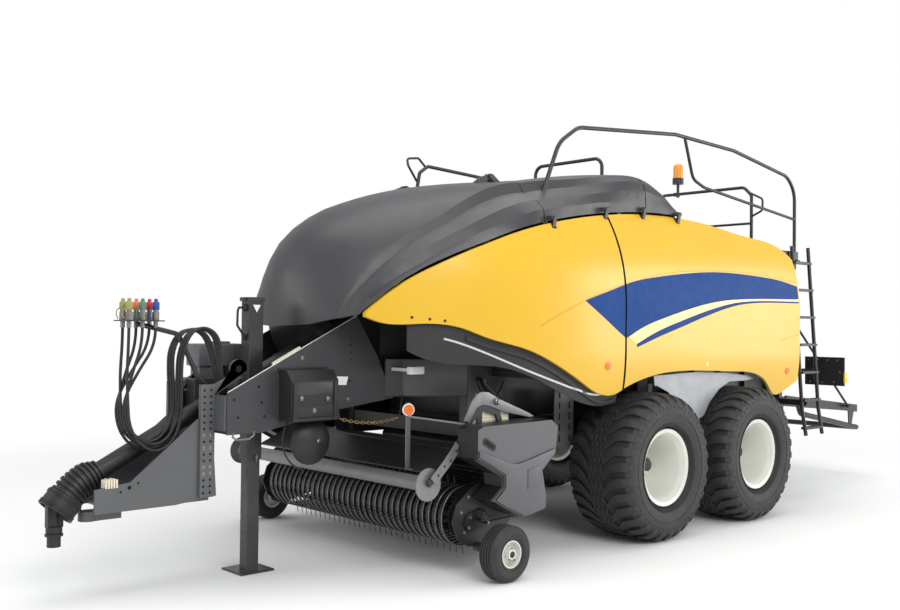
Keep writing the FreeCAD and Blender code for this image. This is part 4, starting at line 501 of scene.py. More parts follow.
# ---- wheels ------------------------------------------------------------------------------------
WHEEL_Z = 595.0
WHEEL_Y = 1170.0
DISC_Y = WHEEL_Y - 40.0              # plane where a rim's disc meets its hub
HUB_FACE_Y = DISC_Y + 60.0
AXLES = (("front", 0.0), ("rear", -1385.0))
TREAD_R = 594.0
LUGS = 30                            # shoulder lugs round each side of a tyre
TREAD_DEPTH = 20.0
SEAT_R, LIP_R = 286.5, 312.0         # where a tyre sits on its rim
SHOULDER = ((200, 591.5), (240, 583), (265, 574), (290, 550), (302, 533), (307, 500), (308.5, 470))
RIBS = ((-76, -46), (-38, -4), (4, 38), (46, 76))
GAUGE_X, GAUGE_Y, GAUGE_Z = 1872.0, 1450.0, 191.0


def between(table, x):
    """Value at x of a table of (x, value), along straight lines."""
    for (x0, v0), (x1, v1) in zip(table, table[1:]):
        if x <= x1:
            return v0 + (v1 - v0) * (x - x0) / (x1 - x0)
    return table[-1][1]


def crown(y):
    """Radius of the lug tips at a distance y from the tyre's middle."""
    return between(((0, TREAD_R), (150, 593.0)) + SHOULDER, abs(y))


def zigzag(phase):
    return between(((0, -1), (0.30, -1), (0.48, 1), (0.80, 1), (1, -1)), phase % 1)


def mirrored(half):
    """Profile of (radius, place along the axis) from its half on the near side."""
    return [(r, -y) for r, y in half] + list(half)[::-1]


class Tyre(Build):
    """Forms on a tyre, given by y from its middle, arc length round it at the tread, and radius."""

    def __init__(self, x, side):
        super().__init__()
        self.x, self.side = x, side

    def at(self, y, arc, radius):
        turn = arc / TREAD_R
        ahead, up = radius * math.cos(turn), radius * math.sin(turn)
        return self.x + ahead, self.side * (WHEEL_Y + y), WHEEL_Z + up

    def hoop(self, out, profile):
        self.turned((self.x, self.side * WHEEL_Y, WHEEL_Z), (0, self.side * out, 0), profile, 96, ring=True)

    def carcass(self):
        floor = TREAD_R - TREAD_DEPTH
        self.hoop(1, mirrored([(SEAT_R, 232), (LIP_R, 232), (LIP_R + 12, 244), (LIP_R + 32, 284),
                               (388, 302), (440, 308), (505, 305), (520, 299), (552, 272),
                               (floor - 7.5, 200), (floor, 80)]))
        for out in (-1, 1):         # rings on the side walls
            for radius, high in ((338, 289), (350, 294), (432, 309.2)):
                self.hoop(out, [(radius - 5, high - 8), (radius - 2, high + 1), (radius + 2, high + 1),
                                (radius + 5, high - 8)])

    def rib(self, low, high, pitch):
        """Band round the tread that bends from side to side."""
        floor = TREAD_R - TREAD_DEPTH - 2
        rows = []
        for lug in range(LUGS):
            for share in (0, 0.10, 0.20, 0.30, 0.39, 0.48, 0.58, 0.69, 0.80, 0.90):
                swing = 15 * zigzag(share)
                outline = [(low - 1.5, floor), (low, crown(low) - 2), (low + 2.5, crown(low)),
                           (high - 2.5, crown(high)), (high, crown(high) - 2), (high + 1.5, floor)]
                rows.append([self.at(y + swing, (lug + share) * pitch, r) for y, r in outline])
        self.skin(rows, closed=True)

    def shoulder_lug(self, out, start):
        """Lug bent from the middle ribs out over the shoulder."""
        rows = []
        for y, along, half in ((84, -6, 24), (104, 16, 32), (140, 56, 36), (168, 78, 36), (205, 88, 37),
                               (240, 92, 37), (265, 94, 36), (288, 95, 33), (302, 96, 28), (306, 96, 20)):
            inside = y - 14 if y > 290 else y
            top, base = crown(y), crown(y) - (30 if y < 250 else 20)
            outline = [(inside, -half - 2, base), (y, -half, top - 3), (y, -half + 3, top),
                       (y, half - 3, top), (y, half, top - 3), (inside, half + 2, base)]
            rows.append([self.at(out * yy, start + along + arc, r) for yy, arc, r in outline])
        self.skin(rows)

    def low_bar(self, out, start):
        """Short bar low on the shoulder."""
        bar = [(500, -7), (500, 7), (476, 5), (476, -5)]
        self.prism([self.at(out * 300, start + arc, r) for r, arc in bar],
                   [self.at(out * 308.6, start + arc * 0.7, r) for r, arc in bar])


def tread_tyre(place_name, side_name, x, side):
    end = "_%s_%s" % (place_name, side_name)
    t = Tyre(x, side)
    t.carcass()
    pitch = 2 * math.pi * TREAD_R / LUGS
    for low, high in RIBS:
        t.rib(low, high, pitch)
    for out in (-1, 1):
        for lug in range(LUGS):
            start = (lug + 0.66 + (0.5 if out < 0 else 0)) * pitch
            t.shoulder_lug(out, start)
            t.low_bar(out, start + 96)
            t.low_bar(out, start + 96 + 0.5 * pitch)
    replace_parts(t.done("tread_tyre" + end, RUBBER, "wheel" + end, smooth=28), "tyre" + end)


def rim_trim(place_name, side_name, x, side):
    """Hub cap, wheel nuts and valve."""
    end = "_%s_%s" % (place_name, side_name)
    out = (0, side, 0)
    cap = Build().turned((x, side * HUB_FACE_Y, WHEEL_Z), out,
                         [(0, -10), (60, -10), (60, 8), (52, 12), (50, 58), (44, 64), (0, 66)], 40)
    cap.done("hub_cap" + end, GUARD, "wheel" + end)
    nuts = Build()
    for u, v in round_spots(10, 118, 0.5):
        spot = (x + u, side * (DISC_Y + 11), WHEEL_Z + v)
        nuts.turned(spot, out, [(0, 0), (17, 0), (17, 4), (0, 4)], 20)
        nuts.turned(spot, out, [(0, 0), (13, 0), (13, 18), (9, 21), (0, 21)], 6)
        nuts.turned(spot, out, [(0, 0), (7, 0), (7, 30), (5, 32), (0, 32)], 14)
    nuts.done("wheel_nuts" + end, STEEL, "wheel" + end)
    valve = Build()
    turn = math.radians(-115)
    outwards = Vector((math.cos(turn), 0, math.sin(turn)))
    root = Vector((x, side * (DISC_Y - 62), WHEEL_Z)) + 238 * outwards
    tip = root + Vector((0, side * 58, 0)) - 14 * outwards
    valve.rod([root, root + Vector((0, side * 25, 0)), tip], 5, 12)
    valve.rod([tip - Vector((0, side * 16, 0)), tip], 7.5, 12)
    valve.done("valve" + end, GUARD, "wheel" + end)


def gauge_tyre(side_name, side):
    x, y, z = GAUGE_X, GAUGE_Y, GAUGE_Z
    body, out = "gauge_wheel_" + side_name, (0, side, 0)
    half = [(92.5, 66), (122, 78), (140, 79.6), (160, 79), (172, 70), (184, 58), (189, 50)]
    for groove in (37, 12.5):
        half += [(189.6, groove + 4.5), (180, groove + 3), (180, groove - 3), (189.6, groove - 4.5)]
    b = Build()
    b.turned((x, side * y, z), out, mirrored(half), 96, ring=True)
    for end in (-1, 1):             # rings on the side walls
        ring = [(108, 70), (110, 77), (113, 77), (116, 70)]
        b.turned((x, side * y, z), (0, side * end, 0), ring, 96, ring=True)
    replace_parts(b.done("ribbed_tyre_" + side_name, RUBBER, body, smooth=28), "gauge_tyre_" + side_name)
    spots = [(x + u, side * (y + 12), z + v) for u, v in round_spots(5, 56, 0.25)]
    dotted("gauge_nuts_" + side_name, STEEL, Build.bolt, spots, out, 15, 9, body=body)
    b = Build()
    turn = math.radians(-140)
    root = Vector((x + 62 * math.cos(turn), side * (y + 10), z + 62 * math.sin(turn)))
    b.rod([root, root + Vector((0, side * 10, 0)), root + Vector((-12, side * 30, -12))], 4.5, 12)
    b.turned((x, side * (y + 68), z), out, [(0, 0), (22, 0), (22, 5), (18, 9), (0, 10)], 28)
    b.done("gauge_valve_" + side_name, GUARD, body)


def add_wheels():
    for side_name, side in SIDES:
        for place_name, x in AXLES:
            tread_tyre(place_name, side_name, x, side)
            rim_trim(place_name, side_name, x, side)
        gauge_tyre(side_name, side)


# ---- films and trims that lie on the panels ----------------------------------------------------
DOOR_SEAM_X = 400.0
SEAM_HALF = 9.0
DOOR_REAR_X = -2335.0


def hull_of(*nodes):
    """Search tree over CAD nodes, for laying things onto them."""
    bm = bmesh.new()
    for node in nodes:
        bm.from_mesh(NODES[node].data)
    tree = BVHTree.FromBMesh(bm)
    bm.free()
    return tree


def through(points, steps=10):
    """Smooth line through a few points."""
    line = []
    ends = [points[0], *points, points[-1]]
    for before, here, there, after in zip(ends, points, points[1:], ends[3:]):
        for k in range(steps):
            t = k / steps
            line.append(tuple(0.5 * (2 * b + (c - a) * t + (2 * a - 5 * b + 4 * c - d) * t ** 2
                                     + (3 * b - a - 3 * c + d) * t ** 3)
                              for a, b, c, d in zip(before, here, there, after)))
    return line + [tuple(points[-1])]


def ribbon(line, width):
    """Outline of a band of a width along a line of (x, z)."""
    left, right = [], []
    for i, (x, z) in enumerate(line):
        (x0, z0), (x1, z1) = line[max(0, i - 1)], line[min(i + 1, len(line) - 1)]
        run = math.hypot(x1 - x0, z1 - z0)
        nx, nz = (z0 - z1) / run * width / 2, (x1 - x0) / run * width / 2
        left.append((x + nx, z + nz))
        right.append((x - nx, z - nz))
    return left + right[::-1]


def lay_outline(name, outline, side, hull, look, body="chassis", proud=0.8, step=45.0):
    """Film with an outline of (x, z), laid from the side onto a hull, cut into cells of about one step."""
    bm = bmesh.new()
    face = bm.faces.new([bm.verts.new((x, 0, z)) for x, z in outline])
    bmesh.ops.triangulate(bm, faces=[face], ngon_method="EAR_CLIP")
    for axis, values in zip((0, 2), zip(*outline)):
        low, high = min(values), max(values)
        cuts = int((high - low) / step)
        for k in range(1, cuts + 1):
            spot, normal = [0, 0, 0], [0, 0, 0]
            spot[axis] = low + (high - low) * k / (cuts + 1)
            normal[axis] = 1
            whole = bm.verts[:] + bm.edges[:] + bm.faces[:]
            bmesh.ops.bisect_plane(bm, geom=whole, plane_co=spot, plane_no=normal)
    bmesh.ops.dissolve_degenerate(bm, dist=0.5, edges=bm.edges[:])
    for vert in bm.verts:
        spot, normal = touch(hull, vert.co.x, vert.co.z, side)
        vert.co = place(*spot) + normal * proud / 1000
    for face in bm.faces:
        face.normal_update()
        if face.normal.y * side < 0:
            face.normal_flip()
    mesh = bpy.data.meshes.new(name)
    bm.to_mesh(mesh)
    bm.free()
    mesh.shade_smooth()
    link_piece(name, mesh, look, body)


def touch(hull, x, z, side):
    """Point of a hull, in millimetres, that is met from the side at (x, z), and the outward normal there."""
    hit, normal = hull.ray_cast(place(x, side * 3000, z), Vector((0, -side, 0)))[:2]
    if hit is None:
        hit, normal = hull.find_nearest(place(x, side * 1300, z))[:2]
    normal = normal if normal.y * side > 0 else -normal
    return ((hit.x - X_SHIFT) * 1000, hit.y * 1000, hit.z * 1000), normal


SWOOSH_TIP = (888, 1913)
SWOOSH_TOP = [SWOOSH_TIP, (632, 1985), (124, 2106), (-877, 2203), (-1834, 2184), (DOOR_REAR_X + 25, 2124)]
SWOOSH_LOW = [(DOOR_SEAM_X - SEAM_HALF - 3, 1632), (-24, 1773), (-992, 1955), (DOOR_REAR_X + 20, 2000)]
LINE_TOP = [(262, 1584), (-195, 1734), (-1190, 1942), (DOOR_REAR_X + 20, 1977)]
LINE_LOW = [(258, 1556), (-253, 1696), (-1256, 1925), (DOOR_REAR_X + 18, 1962)]


def split_at(line, x):
    """The parts of a line that runs rearwards, ahead of and behind x, both ending at x."""
    ahead = [p for p in line if p[0] > x]
    behind = [p for p in line if p[0] < x]
    (x0, z0), (x1, z1) = ahead[-1], behind[0]
    cut = (x, z0 + (z1 - z0) * (x - x0) / (x1 - x0))
    return ahead + [cut], [cut] + behind


def door_films(side_name, side):
    """Blue swoosh over both doors, a pale band and a thin blue line below it, and painted shade along the
    panels' creases.
    """
    front, rear = "front_door_" + side_name, "rear_door_" + side_name
    front_hull, rear_hull = hull_of(front), hull_of(rear)
    top = through(SWOOSH_TOP)
    ahead = split_at(top, DOOR_SEAM_X + SEAM_HALF + 1)[0]
    behind = split_at(top, DOOR_SEAM_X - SEAM_HALF - 1)[1]
    low, line_top, line_low = through(SWOOSH_LOW), through(LINE_TOP), through(LINE_LOW)
    corner = (DOOR_SEAM_X + SEAM_HALF + 1, 1634)
    lay_outline("swoosh_front_" + side_name, ahead + [corner], side, front_hull, BLUE, front)
    lay_outline("swoosh_rear_" + side_name, behind + low[::-1], side, rear_hull, BLUE, rear)
    lay_outline("pale_band_" + side_name, low[1:] + line_top[::-1], side, rear_hull, PALE_FILM, rear, 0.5)
    lay_outline("thin_line_" + side_name, line_top + line_low[::-1], side, rear_hull, BLUE, rear, 1.0)
    # deeper yellow ribbons along the creases: painted shade
    creases = (("nose_", front, [(1337, 1714), (1126, 1816), (900, 1906)]),
               ("over_front_", front, [(880, 1924), (632, 1995), (412, 2055)]),
               ("over_rear_", rear, [(388, 2060), (-348, 2183), (-1384, 2222), (-2300, 2162)]),
               ("low_", rear, [(-1960, 1606), (-2310, 1660)]))
    for name, door, line in creases:
        hull = front_hull if door == front else rear_hull
        outline = ribbon(through(line), 7)
        lay_outline("crease_" + name + side_name, outline, side, hull, CREASE_SHADE_YELLOW, door, 0.4, 60)


def round_piece(name, look, node, spot, axis, profile, sides=40):
    Build().turned(spot, axis, profile, sides).done(name, look, node)


def reflectors(side_name, side):
    """Round orange reflectors and a pale pad low on the doors, and rivets under the nose."""
    front, rear = "front_door_" + side_name, "rear_door_" + side_name
    for name, node, x, z in (("front_", front, 617, 1415), ("rear_", rear, -2116, 1313)):
        spot, normal = touch(hull_of(node), x, z, side)
        round_piece("reflector_rim_" + name + side_name, RIM_ORANGE, node, spot, normal,
                    [(0, -1), (33, -1), (33, 6), (30, 8), (27, 6.5), (0, 6.5)])
        round_piece("reflector_" + name + side_name, ORANGE, node, spot, normal,
                    [(0, 5), (27, 5), (26, 8.5), (0, 10)])
    spot, normal = touch(hull_of(rear), -740, 1402, side)
    round_piece("door_pad_" + side_name, PALE_FILM, rear, spot, normal,
                [(0, -1), (24, -1), (24, 3), (21, 5), (0, 5)], 32)
    hull = hull_of(front)
    b = Build()
    for x, z in ((2259, 1768), (2154, 1757), (2060, 1746)):
        spot, normal = touch(hull, x, z, side)
        b.turned(spot, normal, [(0, -1), (11, -1), (9, 3), (5, 5), (0, 5.5)], 20)
    b.done("door_rivets_" + side_name, GUARD, front)


def trim_edge(side_name, side):
    """Bright edge strip along the dark sheet below the front door."""
    hull = hull_of("side_trims")
    line = through([(2040, 1622), (1880, 1572), (1370, 1382), (800, 1212), (590, 1196)])
    lay_outline("trim_edge_" + side_name, ribbon(line, 14), side, hull, BRIGHT, proud=1.5)


# ---- drawbar and jack --------------------------------------------------------------------------
CHEEK_Y = 390.0
CHEEK_TOP = ((2330, 1780), (3380, 1260))        # sloping upper edge, as (x, z)
TONGUE_Y = 215.0
STRIP_Y = TONGUE_Y + 22.0
BOLTED_ROWS = (7, 9, 12, 13)         # rows of the strip's holes that hold bolts
BOX_Y = 540.3                        # left face of the pressed box
HANDLE_Y = 384.0


def cheek_details(side_name, side):
    """Holes, bolts, bright edge, grip strip and eye lug of one of the drawbar's cheeks."""
    y, out = side * CHEEK_Y, (0, side, 0)
    b = Build()
    for x, z in ((3143, 1292), (3328, 1213), (3120, 1188), (3299, 1096), (3097, 1094), (2390, 1310)):
        flat_disc(b, (x, y, z), out, 10)
    for z in (1464, 1514, 1566, 1616):
        flat_disc(b, (2380, y, z), out, 7)
    b.done("cheek_holes_" + side_name, HOLE)
    spots = [(x, y, z) for x, z in ((2798, 1480), (2402, 1179), (2562, 1204))]
    dotted("cheek_bolts_" + side_name, STEEL, button, spots, out)
    edge = [(3376, y - side, 1263), (2334, y - side, 1779)]
    Build().rod(edge, 3.5, 10).done("cheek_edge_" + side_name, BRIGHT)
    b = Build()
    for k in range(12):
        x = 3030 - 18.5 * k
        z = between(CHEEK_TOP, x)
        low = [(x, y - side * 4, z - 1), (x - 13, y - side * 4, z + 5), (x - 13, y - side * 26, z + 5),
               (x, y - side * 26, z - 1)]
        b.prism(low, [(px, py, pz + 19) for px, py, pz in low], 1.5)
    b.done("grip_strip_" + side_name, CREAM)
    b = Build()
    ring = arc_points(3207, 1407, 62, range(-40, 190, 12))
    lug = [(3482, 1200), (3482, 1300), (3380, 1312), (3300, 1352), *ring[::-1], (3170, 1352), (3384, 1240)]
    b.plate_y(lug, side * (STRIP_Y - 22), side * (STRIP_Y + 2), 2)
    b.done("eye_lug_" + side_name, PLATE_GREY)
    dotted("eye_hole_" + side_name, HOLE, flat_disc, [(3207, side * (STRIP_Y + 2), 1407)], out, 24)


def tongue_details(side_name, side):
    """Perforated cover strip with its bolts, and the holes near the tongue's nose."""
    out = (0, side, 0)
    strip = Build().box((3384, 3486), across(side, STRIP_Y, STRIP_Y + 3), (570, 1306), 1)
    strip.done("hole_strip_" + side_name, PLATE_GREY)
    dark, bright = Build(), Build()
    for row in range(17):
        z = 1272 - 42 * row
        for x in (3412, 3460):
            spot = (x, side * (STRIP_Y + 3), z)
            if row in BOLTED_ROWS:
                button(bright, spot, out, 11, 8)
            else:
                flat_disc(dark, spot, out, 8.5)
    for x, z, r in ((4013, 662, 8), (3957, 684, 13), (3900, 706, 8)):
        flat_disc(dark, (x, side * TONGUE_Y, z), out, r)
    dark.done("tongue_holes_" + side_name, HOLE)
    bright.done("tongue_bolts_" + side_name, STEEL)


def drawbar_front():
    """Left side of the drawbar: blank plate, pressed box, hoop, handle, strap, flare plate and case."""
    plate = [(2559, 1347), (2404, 1340), (2421, 1281), (2546, 1287)]
    Build().plate_y(plate, CHEEK_Y, CHEEK_Y + 1.2).done("blank_plate", WHITE_FILM)
    b = Build()
    for xs, zs, proud, bevel in (((2630, 2955), (1085, 1160), 4, 3), ((2612, 2640), (1064, 1320), 12, 4),
                                 ((2945, 2973), (1064, 1320), 12, 4), ((2606, 2979), (1058, 1080), 14, 4)):
        b.box(xs, (BOX_Y - 1, BOX_Y + proud), zs, bevel)
    b.done("box_ribs", TRIM)
    Build().box((2645, 2940), (BOX_Y - 1, BOX_Y + 3), (1235, 1320), 3).done("box_panel", GREY)
    b = Build()
    for x, z in ((2905, 1215), (2690, 1205), (2800, 1128)):
        button(b, (x, BOX_Y + 3, z), (0, 1, 0), 12, 9)
    button(b, (2735, 501, 915), (0, 1, 0), 13, 9)
    b.done("box_bolts", STEEL)
    arc = [(x, 440, z) for x, z in arc_points(2770, 930, 215, range(-75, 46, 8))]
    Build().rod([*arc, (2940, 425, 1085)], 6, 10).done("hoop", DARK_STEEL)
    handle = ((3330, 1000), (3332, 968), (3300, 950), (3210, 950), (3172, 972), (3174, 1002))
    Build().rod([(x, HANDLE_Y, z) for x, z in handle], 7, 12).done("loop_handle", STEEL)
    b = Build()
    for k in range(5):
        b.box((4100 - 17 * k, 4112 - 17 * k), (150, 216), (690, 742 + 5 * (k % 2)), 2)
    b.done("nose_strap", CREAM)
    corners = ((2057, 391.5), (1541, 746.5), (1541, 743.5), (2057, 388.5))
    flare = [[(x, y, z) for x, y in corners] for z in (1192, 1453)]
    Build().skin(flare, bevel=1).done("flare_plate", PLATE_GREY)
    b = Build()
    b.box((1985, 2110), (690, 742), (1362, 1416), 6)
    b.box((2000, 2030), (420, 700), (1376, 1400), 2)
    b.done("white_case", WHITE_FILM)


CHAIN_SAG = 34.0
LINK_LONG, LINK_WIDE = 19.0, 10.0


def chain():
    """Brass safety chain from a hook on the cheek's lower edge to one below the flare."""
    start, end = Vector((2480, 400, 1045)), Vector((1990, 455, 1030))
    b = Build()
    count = 19
    for k in range(count):
        share, nearby = (k + 0.5) / count, (k + 0.9) / count
        spot, ahead = (start.lerp(end, t) - Vector((0, 0, CHAIN_SAG * 4 * t * (1 - t)))
                       for t in (share, nearby))
        along = (ahead - spot).normalized()
        aside = along.cross(Vector((0, 1, 0) if k % 2 else (0, 0, 1))).normalized()
        b.rod([spot + along * u * LINK_LONG + aside * v * LINK_WIDE for u, v in round_spots(12, 1)], 3.2, 8,
              closed=True)
    b.done("safety_chain", BRASS)
    b = Build()
    b.rod([(1990, 455, 1026), (1978, 462, 1060), (1960, 470, 1196)], 6, 10)
    b.rod([(2480, 396, 1040), (2480, 384, 1085), (2480, 378, 1112)], 6, 10)
    b.done("chain_hooks", DARK_STEEL)


def valve_cover():
    """Ribbed grey cover above the valve box."""
    b = Build()
    b.box((2948, 3312), (-300, -112), (1412, 1568), 12)
    for k in range(9):
        b.box((2962 + 39 * k, 2978 + 39 * k), (-306, -106), (1418, 1556), 3)
    b.box((3040, 3190), (-250, -160), (1566, 1584), 5)
    b.box((3110, 3290), (-270, -140), (1328, 1414), 3)
    b.done("valve_cover", PLATE_GREY)


JACK_X, JACK_Y, JACK_TOP_Z = 3040.0, 130.0, 1890.0


def jack_details():
    """Cap, crank, blank plate and pin of the jack."""
    b = Build()
    b.box((JACK_X - 62, JACK_X + 62), (JACK_Y - 62, JACK_Y + 62), (JACK_TOP_Z - 24, JACK_TOP_Z + 5), 3)
    b.box((JACK_X + 50, JACK_X + 92), (JACK_Y - 20, JACK_Y + 20), (JACK_TOP_Z - 22, JACK_TOP_Z + 2), 3)
    b.done("jack_cap", JACK_GREY)
    b = Build()
    side = JACK_X + 55
    crank = ((0, 1822), (52, 1822), (62, 1800), (64, 1700), (20, 1640))
    b.rod([(side + x, JACK_Y, z) for x, z in crank], 8, 12)
    b.turned((side + 1, JACK_Y, 1822), (1, 0, 0), [(0, 0), (26, 0), (26, 12), (18, 20), (0, 20)], 28)
    b.rod([(side + 22, JACK_Y + 2, 1640), (side + 4, JACK_Y + 2, 1600)], 13, 14)
    b.done("jack_crank", GUARD)
    b = Build()
    face = JACK_Y + 55
    b.plate_y([(JACK_X + 30, 1842), (JACK_X - 30, 1842), (JACK_X, 1790)], face, face + 1.2)
    b.done("jack_plate", WHITE_FILM)
    b = Build()
    b.rod([(JACK_X, face - 4, 800), (JACK_X, face + 26, 800)], 9, 14)
    b.rod([(JACK_X, face + 22, 812), (JACK_X, face + 22, 770)], 4, 10)
    b.done("jack_pin", STEEL)


HOLDER_X, HOLDER_Y, HOLDER_Z = 3870.0, 130.0, 1720.0


def coupler_spot(i):
    """Place (x, y) of a parked coupler, in two rows of three."""
    return HOLDER_X + 90 * (i % 3 - 1), HOLDER_Y - 45 + 90 * (i // 3)


def coupler_caps():
    """Coloured dust caps on the parked couplers."""
    for i, look in enumerate((RED_CAP, ORANGE_CAP, KHAKI_CAP, BLUE_CAP, GREEN_CAP, KHAKI_CAP)):
        x, y = coupler_spot(i)
        b = Build()
        b.turned((x, y, HOLDER_Z + 74), (0, 0, 1),
                 [(0, 0), (20, 0), (22, 3), (22, 44), (18, 50), (12, 54), (11, 68), (7, 72), (0, 73)], 28)
        b.rod([(x + 21, y, HOLDER_Z + 84), (x + 40, y, HOLDER_Z + 72), (x + 44, y, HOLDER_Z + 40),
               (x + 30, y, HOLDER_Z + 14)], 3.5, 8)
        b.done("dust_cap_%d" % (i + 1), look)


# ---- pickup ------------------------------------------------------------------------------------
SHIELD_Y = 1400.0
ARM_Y = 1201.0


def shield_details(side_name, side):
    """Raised lower face, handle slot with its rim, boss and rubber edge of a side shield."""
    b = Build()
    lower = [(2079, 884), (1900, 820), (1752, 771), (1707, 769), (1600, 788), (1322, 848), (1318, 815),
             (1457, 703), (1420, 530), (1420, 437), (1629, 401), (1826, 487), (1922, 540), (1822, 615),
             (1827, 706), (2079, 838)]
    b.plate_y(lower, *across(side, SHIELD_Y - 1, SHIELD_Y + 13), 9)
    b.done("shield_lower_" + side_name, SHIELD, "pickup")
    along = Vector((2034 - 1920, 0, 952 - 888)).normalized()
    for look, name, half, tall, proud in ((TRIM, "handle_rim_", 68, 27, 3.5),
                                          (HOLE, "handle_slot_", 54, 15, 4.5)):
        b = Build()
        outline = []
        for run, rise in round_spots(24, tall):
            run += half - tall if run > 0 else tall - half
            outline.append((1978 + along.x * run - along.z * rise, 920 + along.z * run + along.x * rise))
        b.plate_y(outline, *across(side, SHIELD_Y - 1, SHIELD_Y + proud), 1)
        b.done(name + side_name, look, "pickup", "black_plastic")
    b = Build()
    square = [(1612, 722), (1484, 740), (1496, 604), (1612, 584)]
    b.plate_y(square, *across(side, SHIELD_Y + 12, SHIELD_Y + 17), 3)
    b.done("shield_boss_" + side_name, SHIELD, "pickup")
    edge = [(x, side * (SHIELD_Y - 12), z) for x, z in ((2094, 824), (1842, 690), (1836, 618), (1946, 534))]
    Build().rod(edge, 11, 10).done("shield_seal_" + side_name, GUARD, "pickup")


def arm_plates(side_name, side):
    """Perforated plate at each end of the crop roller, curved link above it, and the cream block behind."""
    out = (0, side, 0)
    b = Build()
    arm = ribbon([(2306, 680), (2190, 784), (2100, 880), (2080, 912)], 66)
    b.plate_y(arm, *across(side, ARM_Y, ARM_Y + 6), 1.5)
    link = [(2031, 1063), (1963, 1192), (1915, 1238), (1875, 1257), (1802, 1253), (1673, 1193),
            (1423, 1102), (1330, 1063), (1373, 1056), (1634, 1106), (1801, 1160), (1860, 1168),
            (1909, 1150), (1979, 1058)]
    b.plate_y(link, *across(side, ARM_Y, ARM_Y + 8), 2)
    b.done("arm_plates_" + side_name, ROLLER, "pickup")
    dark, bright = Build(), Build()
    for x, z in ((2100, 866), (2150, 806), (2206, 772), (2262, 716)):
        flat_disc(dark, (x, side * (ARM_Y + 6), z), out, 9)
    for x, z in ((2086, 898), (2178, 790), (2240, 740)):
        button(bright, (x, side * (ARM_Y + 6), z), out, 8, 7)
    bright.turned((1724, side * (ARM_Y + 8), 1185), out,
                  [(0, 0), (24, 0), (24, 16), (16, 22), (16, 34), (0, 34)], 24)
    dark.done("arm_holes_" + side_name, HOLE, "pickup")
    bright.done("arm_bolts_" + side_name, STEEL, "pickup")
    b = Build()
    b.box((1560, 1876), across(side, 1110, 1172), (1032, 1140), 5)
    for z in (1050, 1072, 1094, 1116):
        b.box((1566, 1870), across(side, 1170, 1178), (z, z + 12), 3)
    b.done("cream_block_" + side_name, CREAM, "pickup")


def crop_bracket():
    """Upright bracket with a round orange reflector on the deflector's front edge, and its light rod."""
    b = Build()
    b.box((2166, 2206), (796, 804), (702, 1170), 1.5)
    b.box((2140, 2206), (800, 860), (706, 716), 1.5)
    b.rod([(2196, 812, 1076), (1880, 1150, 1020)], 8, 12)
    b.done("reflector_bracket", ROLLER, "pickup")
    spot, axis = (2188, 804, 1122), (0.4, 0.9, 0)
    rim = [(0, 0), (44, 0), (44, 7), (40, 9), (0, 9)]
    round_piece("crop_reflector_rim", WHITE_FILM, "pickup", spot, axis, rim, 36)
    round_piece("crop_reflector", ORANGE, "pickup", spot, axis, [(0, 8), (37, 8), (36, 12), (0, 14)], 36)


def pickup_bolts(side_name, side):
    """Bolts on a side plate of the pickup."""
    spots = [(x, side * 1185, z) for x, z in ((1700, 640), (1500, 690), (1300, 730), (1640, 300), (2000, 300),
                                              (2030, 440), (1960, 540))]
    dotted("side_plate_bolts_" + side_name, STEEL, Build.bolt, spots, (0, side, 0), 20, 9, body="pickup")


REEL_X, REEL_Z, BAND_RADIUS = 1900.0, 388.0, 206.0
BAND_COUNT, BAND_PITCH = 33, 66.0


def pickup_back():
    """Dark sheet that closes the pickup's rear, and a painted highlight along each band's rounded edge."""
    Build().box((1601, 1605), (-1170, 1170), (214, 632), 0).done("pickup_back_sheet", GUARD, "pickup")
    arc = arc_points(REEL_X, REEL_Z, BAND_RADIUS, range(96, -97, -8))
    # thin pale rods on the bands: painted highlight of each band's rounded edge
    b = Build()
    for i in range(BAND_COUNT):
        y = (i - BAND_COUNT // 2) * BAND_PITCH + 13
        b.rod([(x, y, z) for x, z in arc], 2.2, 6)
    b.done("painted_band_highlights", BAND_HIGHLIGHT_GREY, "pickup")


def far_shade():
    """Dark plate inside the right flare: painted shade that closes the view through the frame."""
    Build().box((860, 1680), (-742, -738), (790, 1120), 1).done("far_painted_shade_plate", GUARD)


STRAP_Y = 1238.0                     # rod between a gauge wheel and the side plate's rear


def gauge_links(side_name, side):
    """Plate with bolts beside a gauge wheel, and the rod from it to the side plate's rear."""
    b = Build()
    b.plate_y([(1985, 420), (1850, 452), (1800, 430), (1770, 352), (1800, 318), (1960, 300), (2010, 352)],
              *across(side, 1186, 1196), 2)
    b.box((1838, 1906), across(side, 1196, 1262), (372, 384), 2)
    b.plate_y([(1838, 384), (1906, 384), (1896, 424), (1852, 424)], *across(side, 1250, 1258), 1.5)
    b.done("gauge_plate_" + side_name, DARK_STEEL, "pickup")
    b = Build()
    b.rod([(x, side * STRAP_Y, z) for x, z in ((1835, 360), (1520, 372), (1330, 452))], 9, 12)
    for x, z, end in ((1835, 360, 1250), (1330, 452, 1262)):
        b.rod([(x, side * 1190, z), (x, side * end, z)], 12, 14)
    b.done("gauge_strap_" + side_name, DARK_STEEL, "pickup")
    spots = [(x, side * y, z) for x, y, z in ((1950, 1196, 400), (1825, 1196, 405), (1965, 1196, 330),
                                              (1330, 1262, 452), (1835, 1250, 360))]
    dotted("gauge_link_bolts_" + side_name, STEEL, Build.bolt, spots, (0, side, 0), 20, 10, body="pickup")


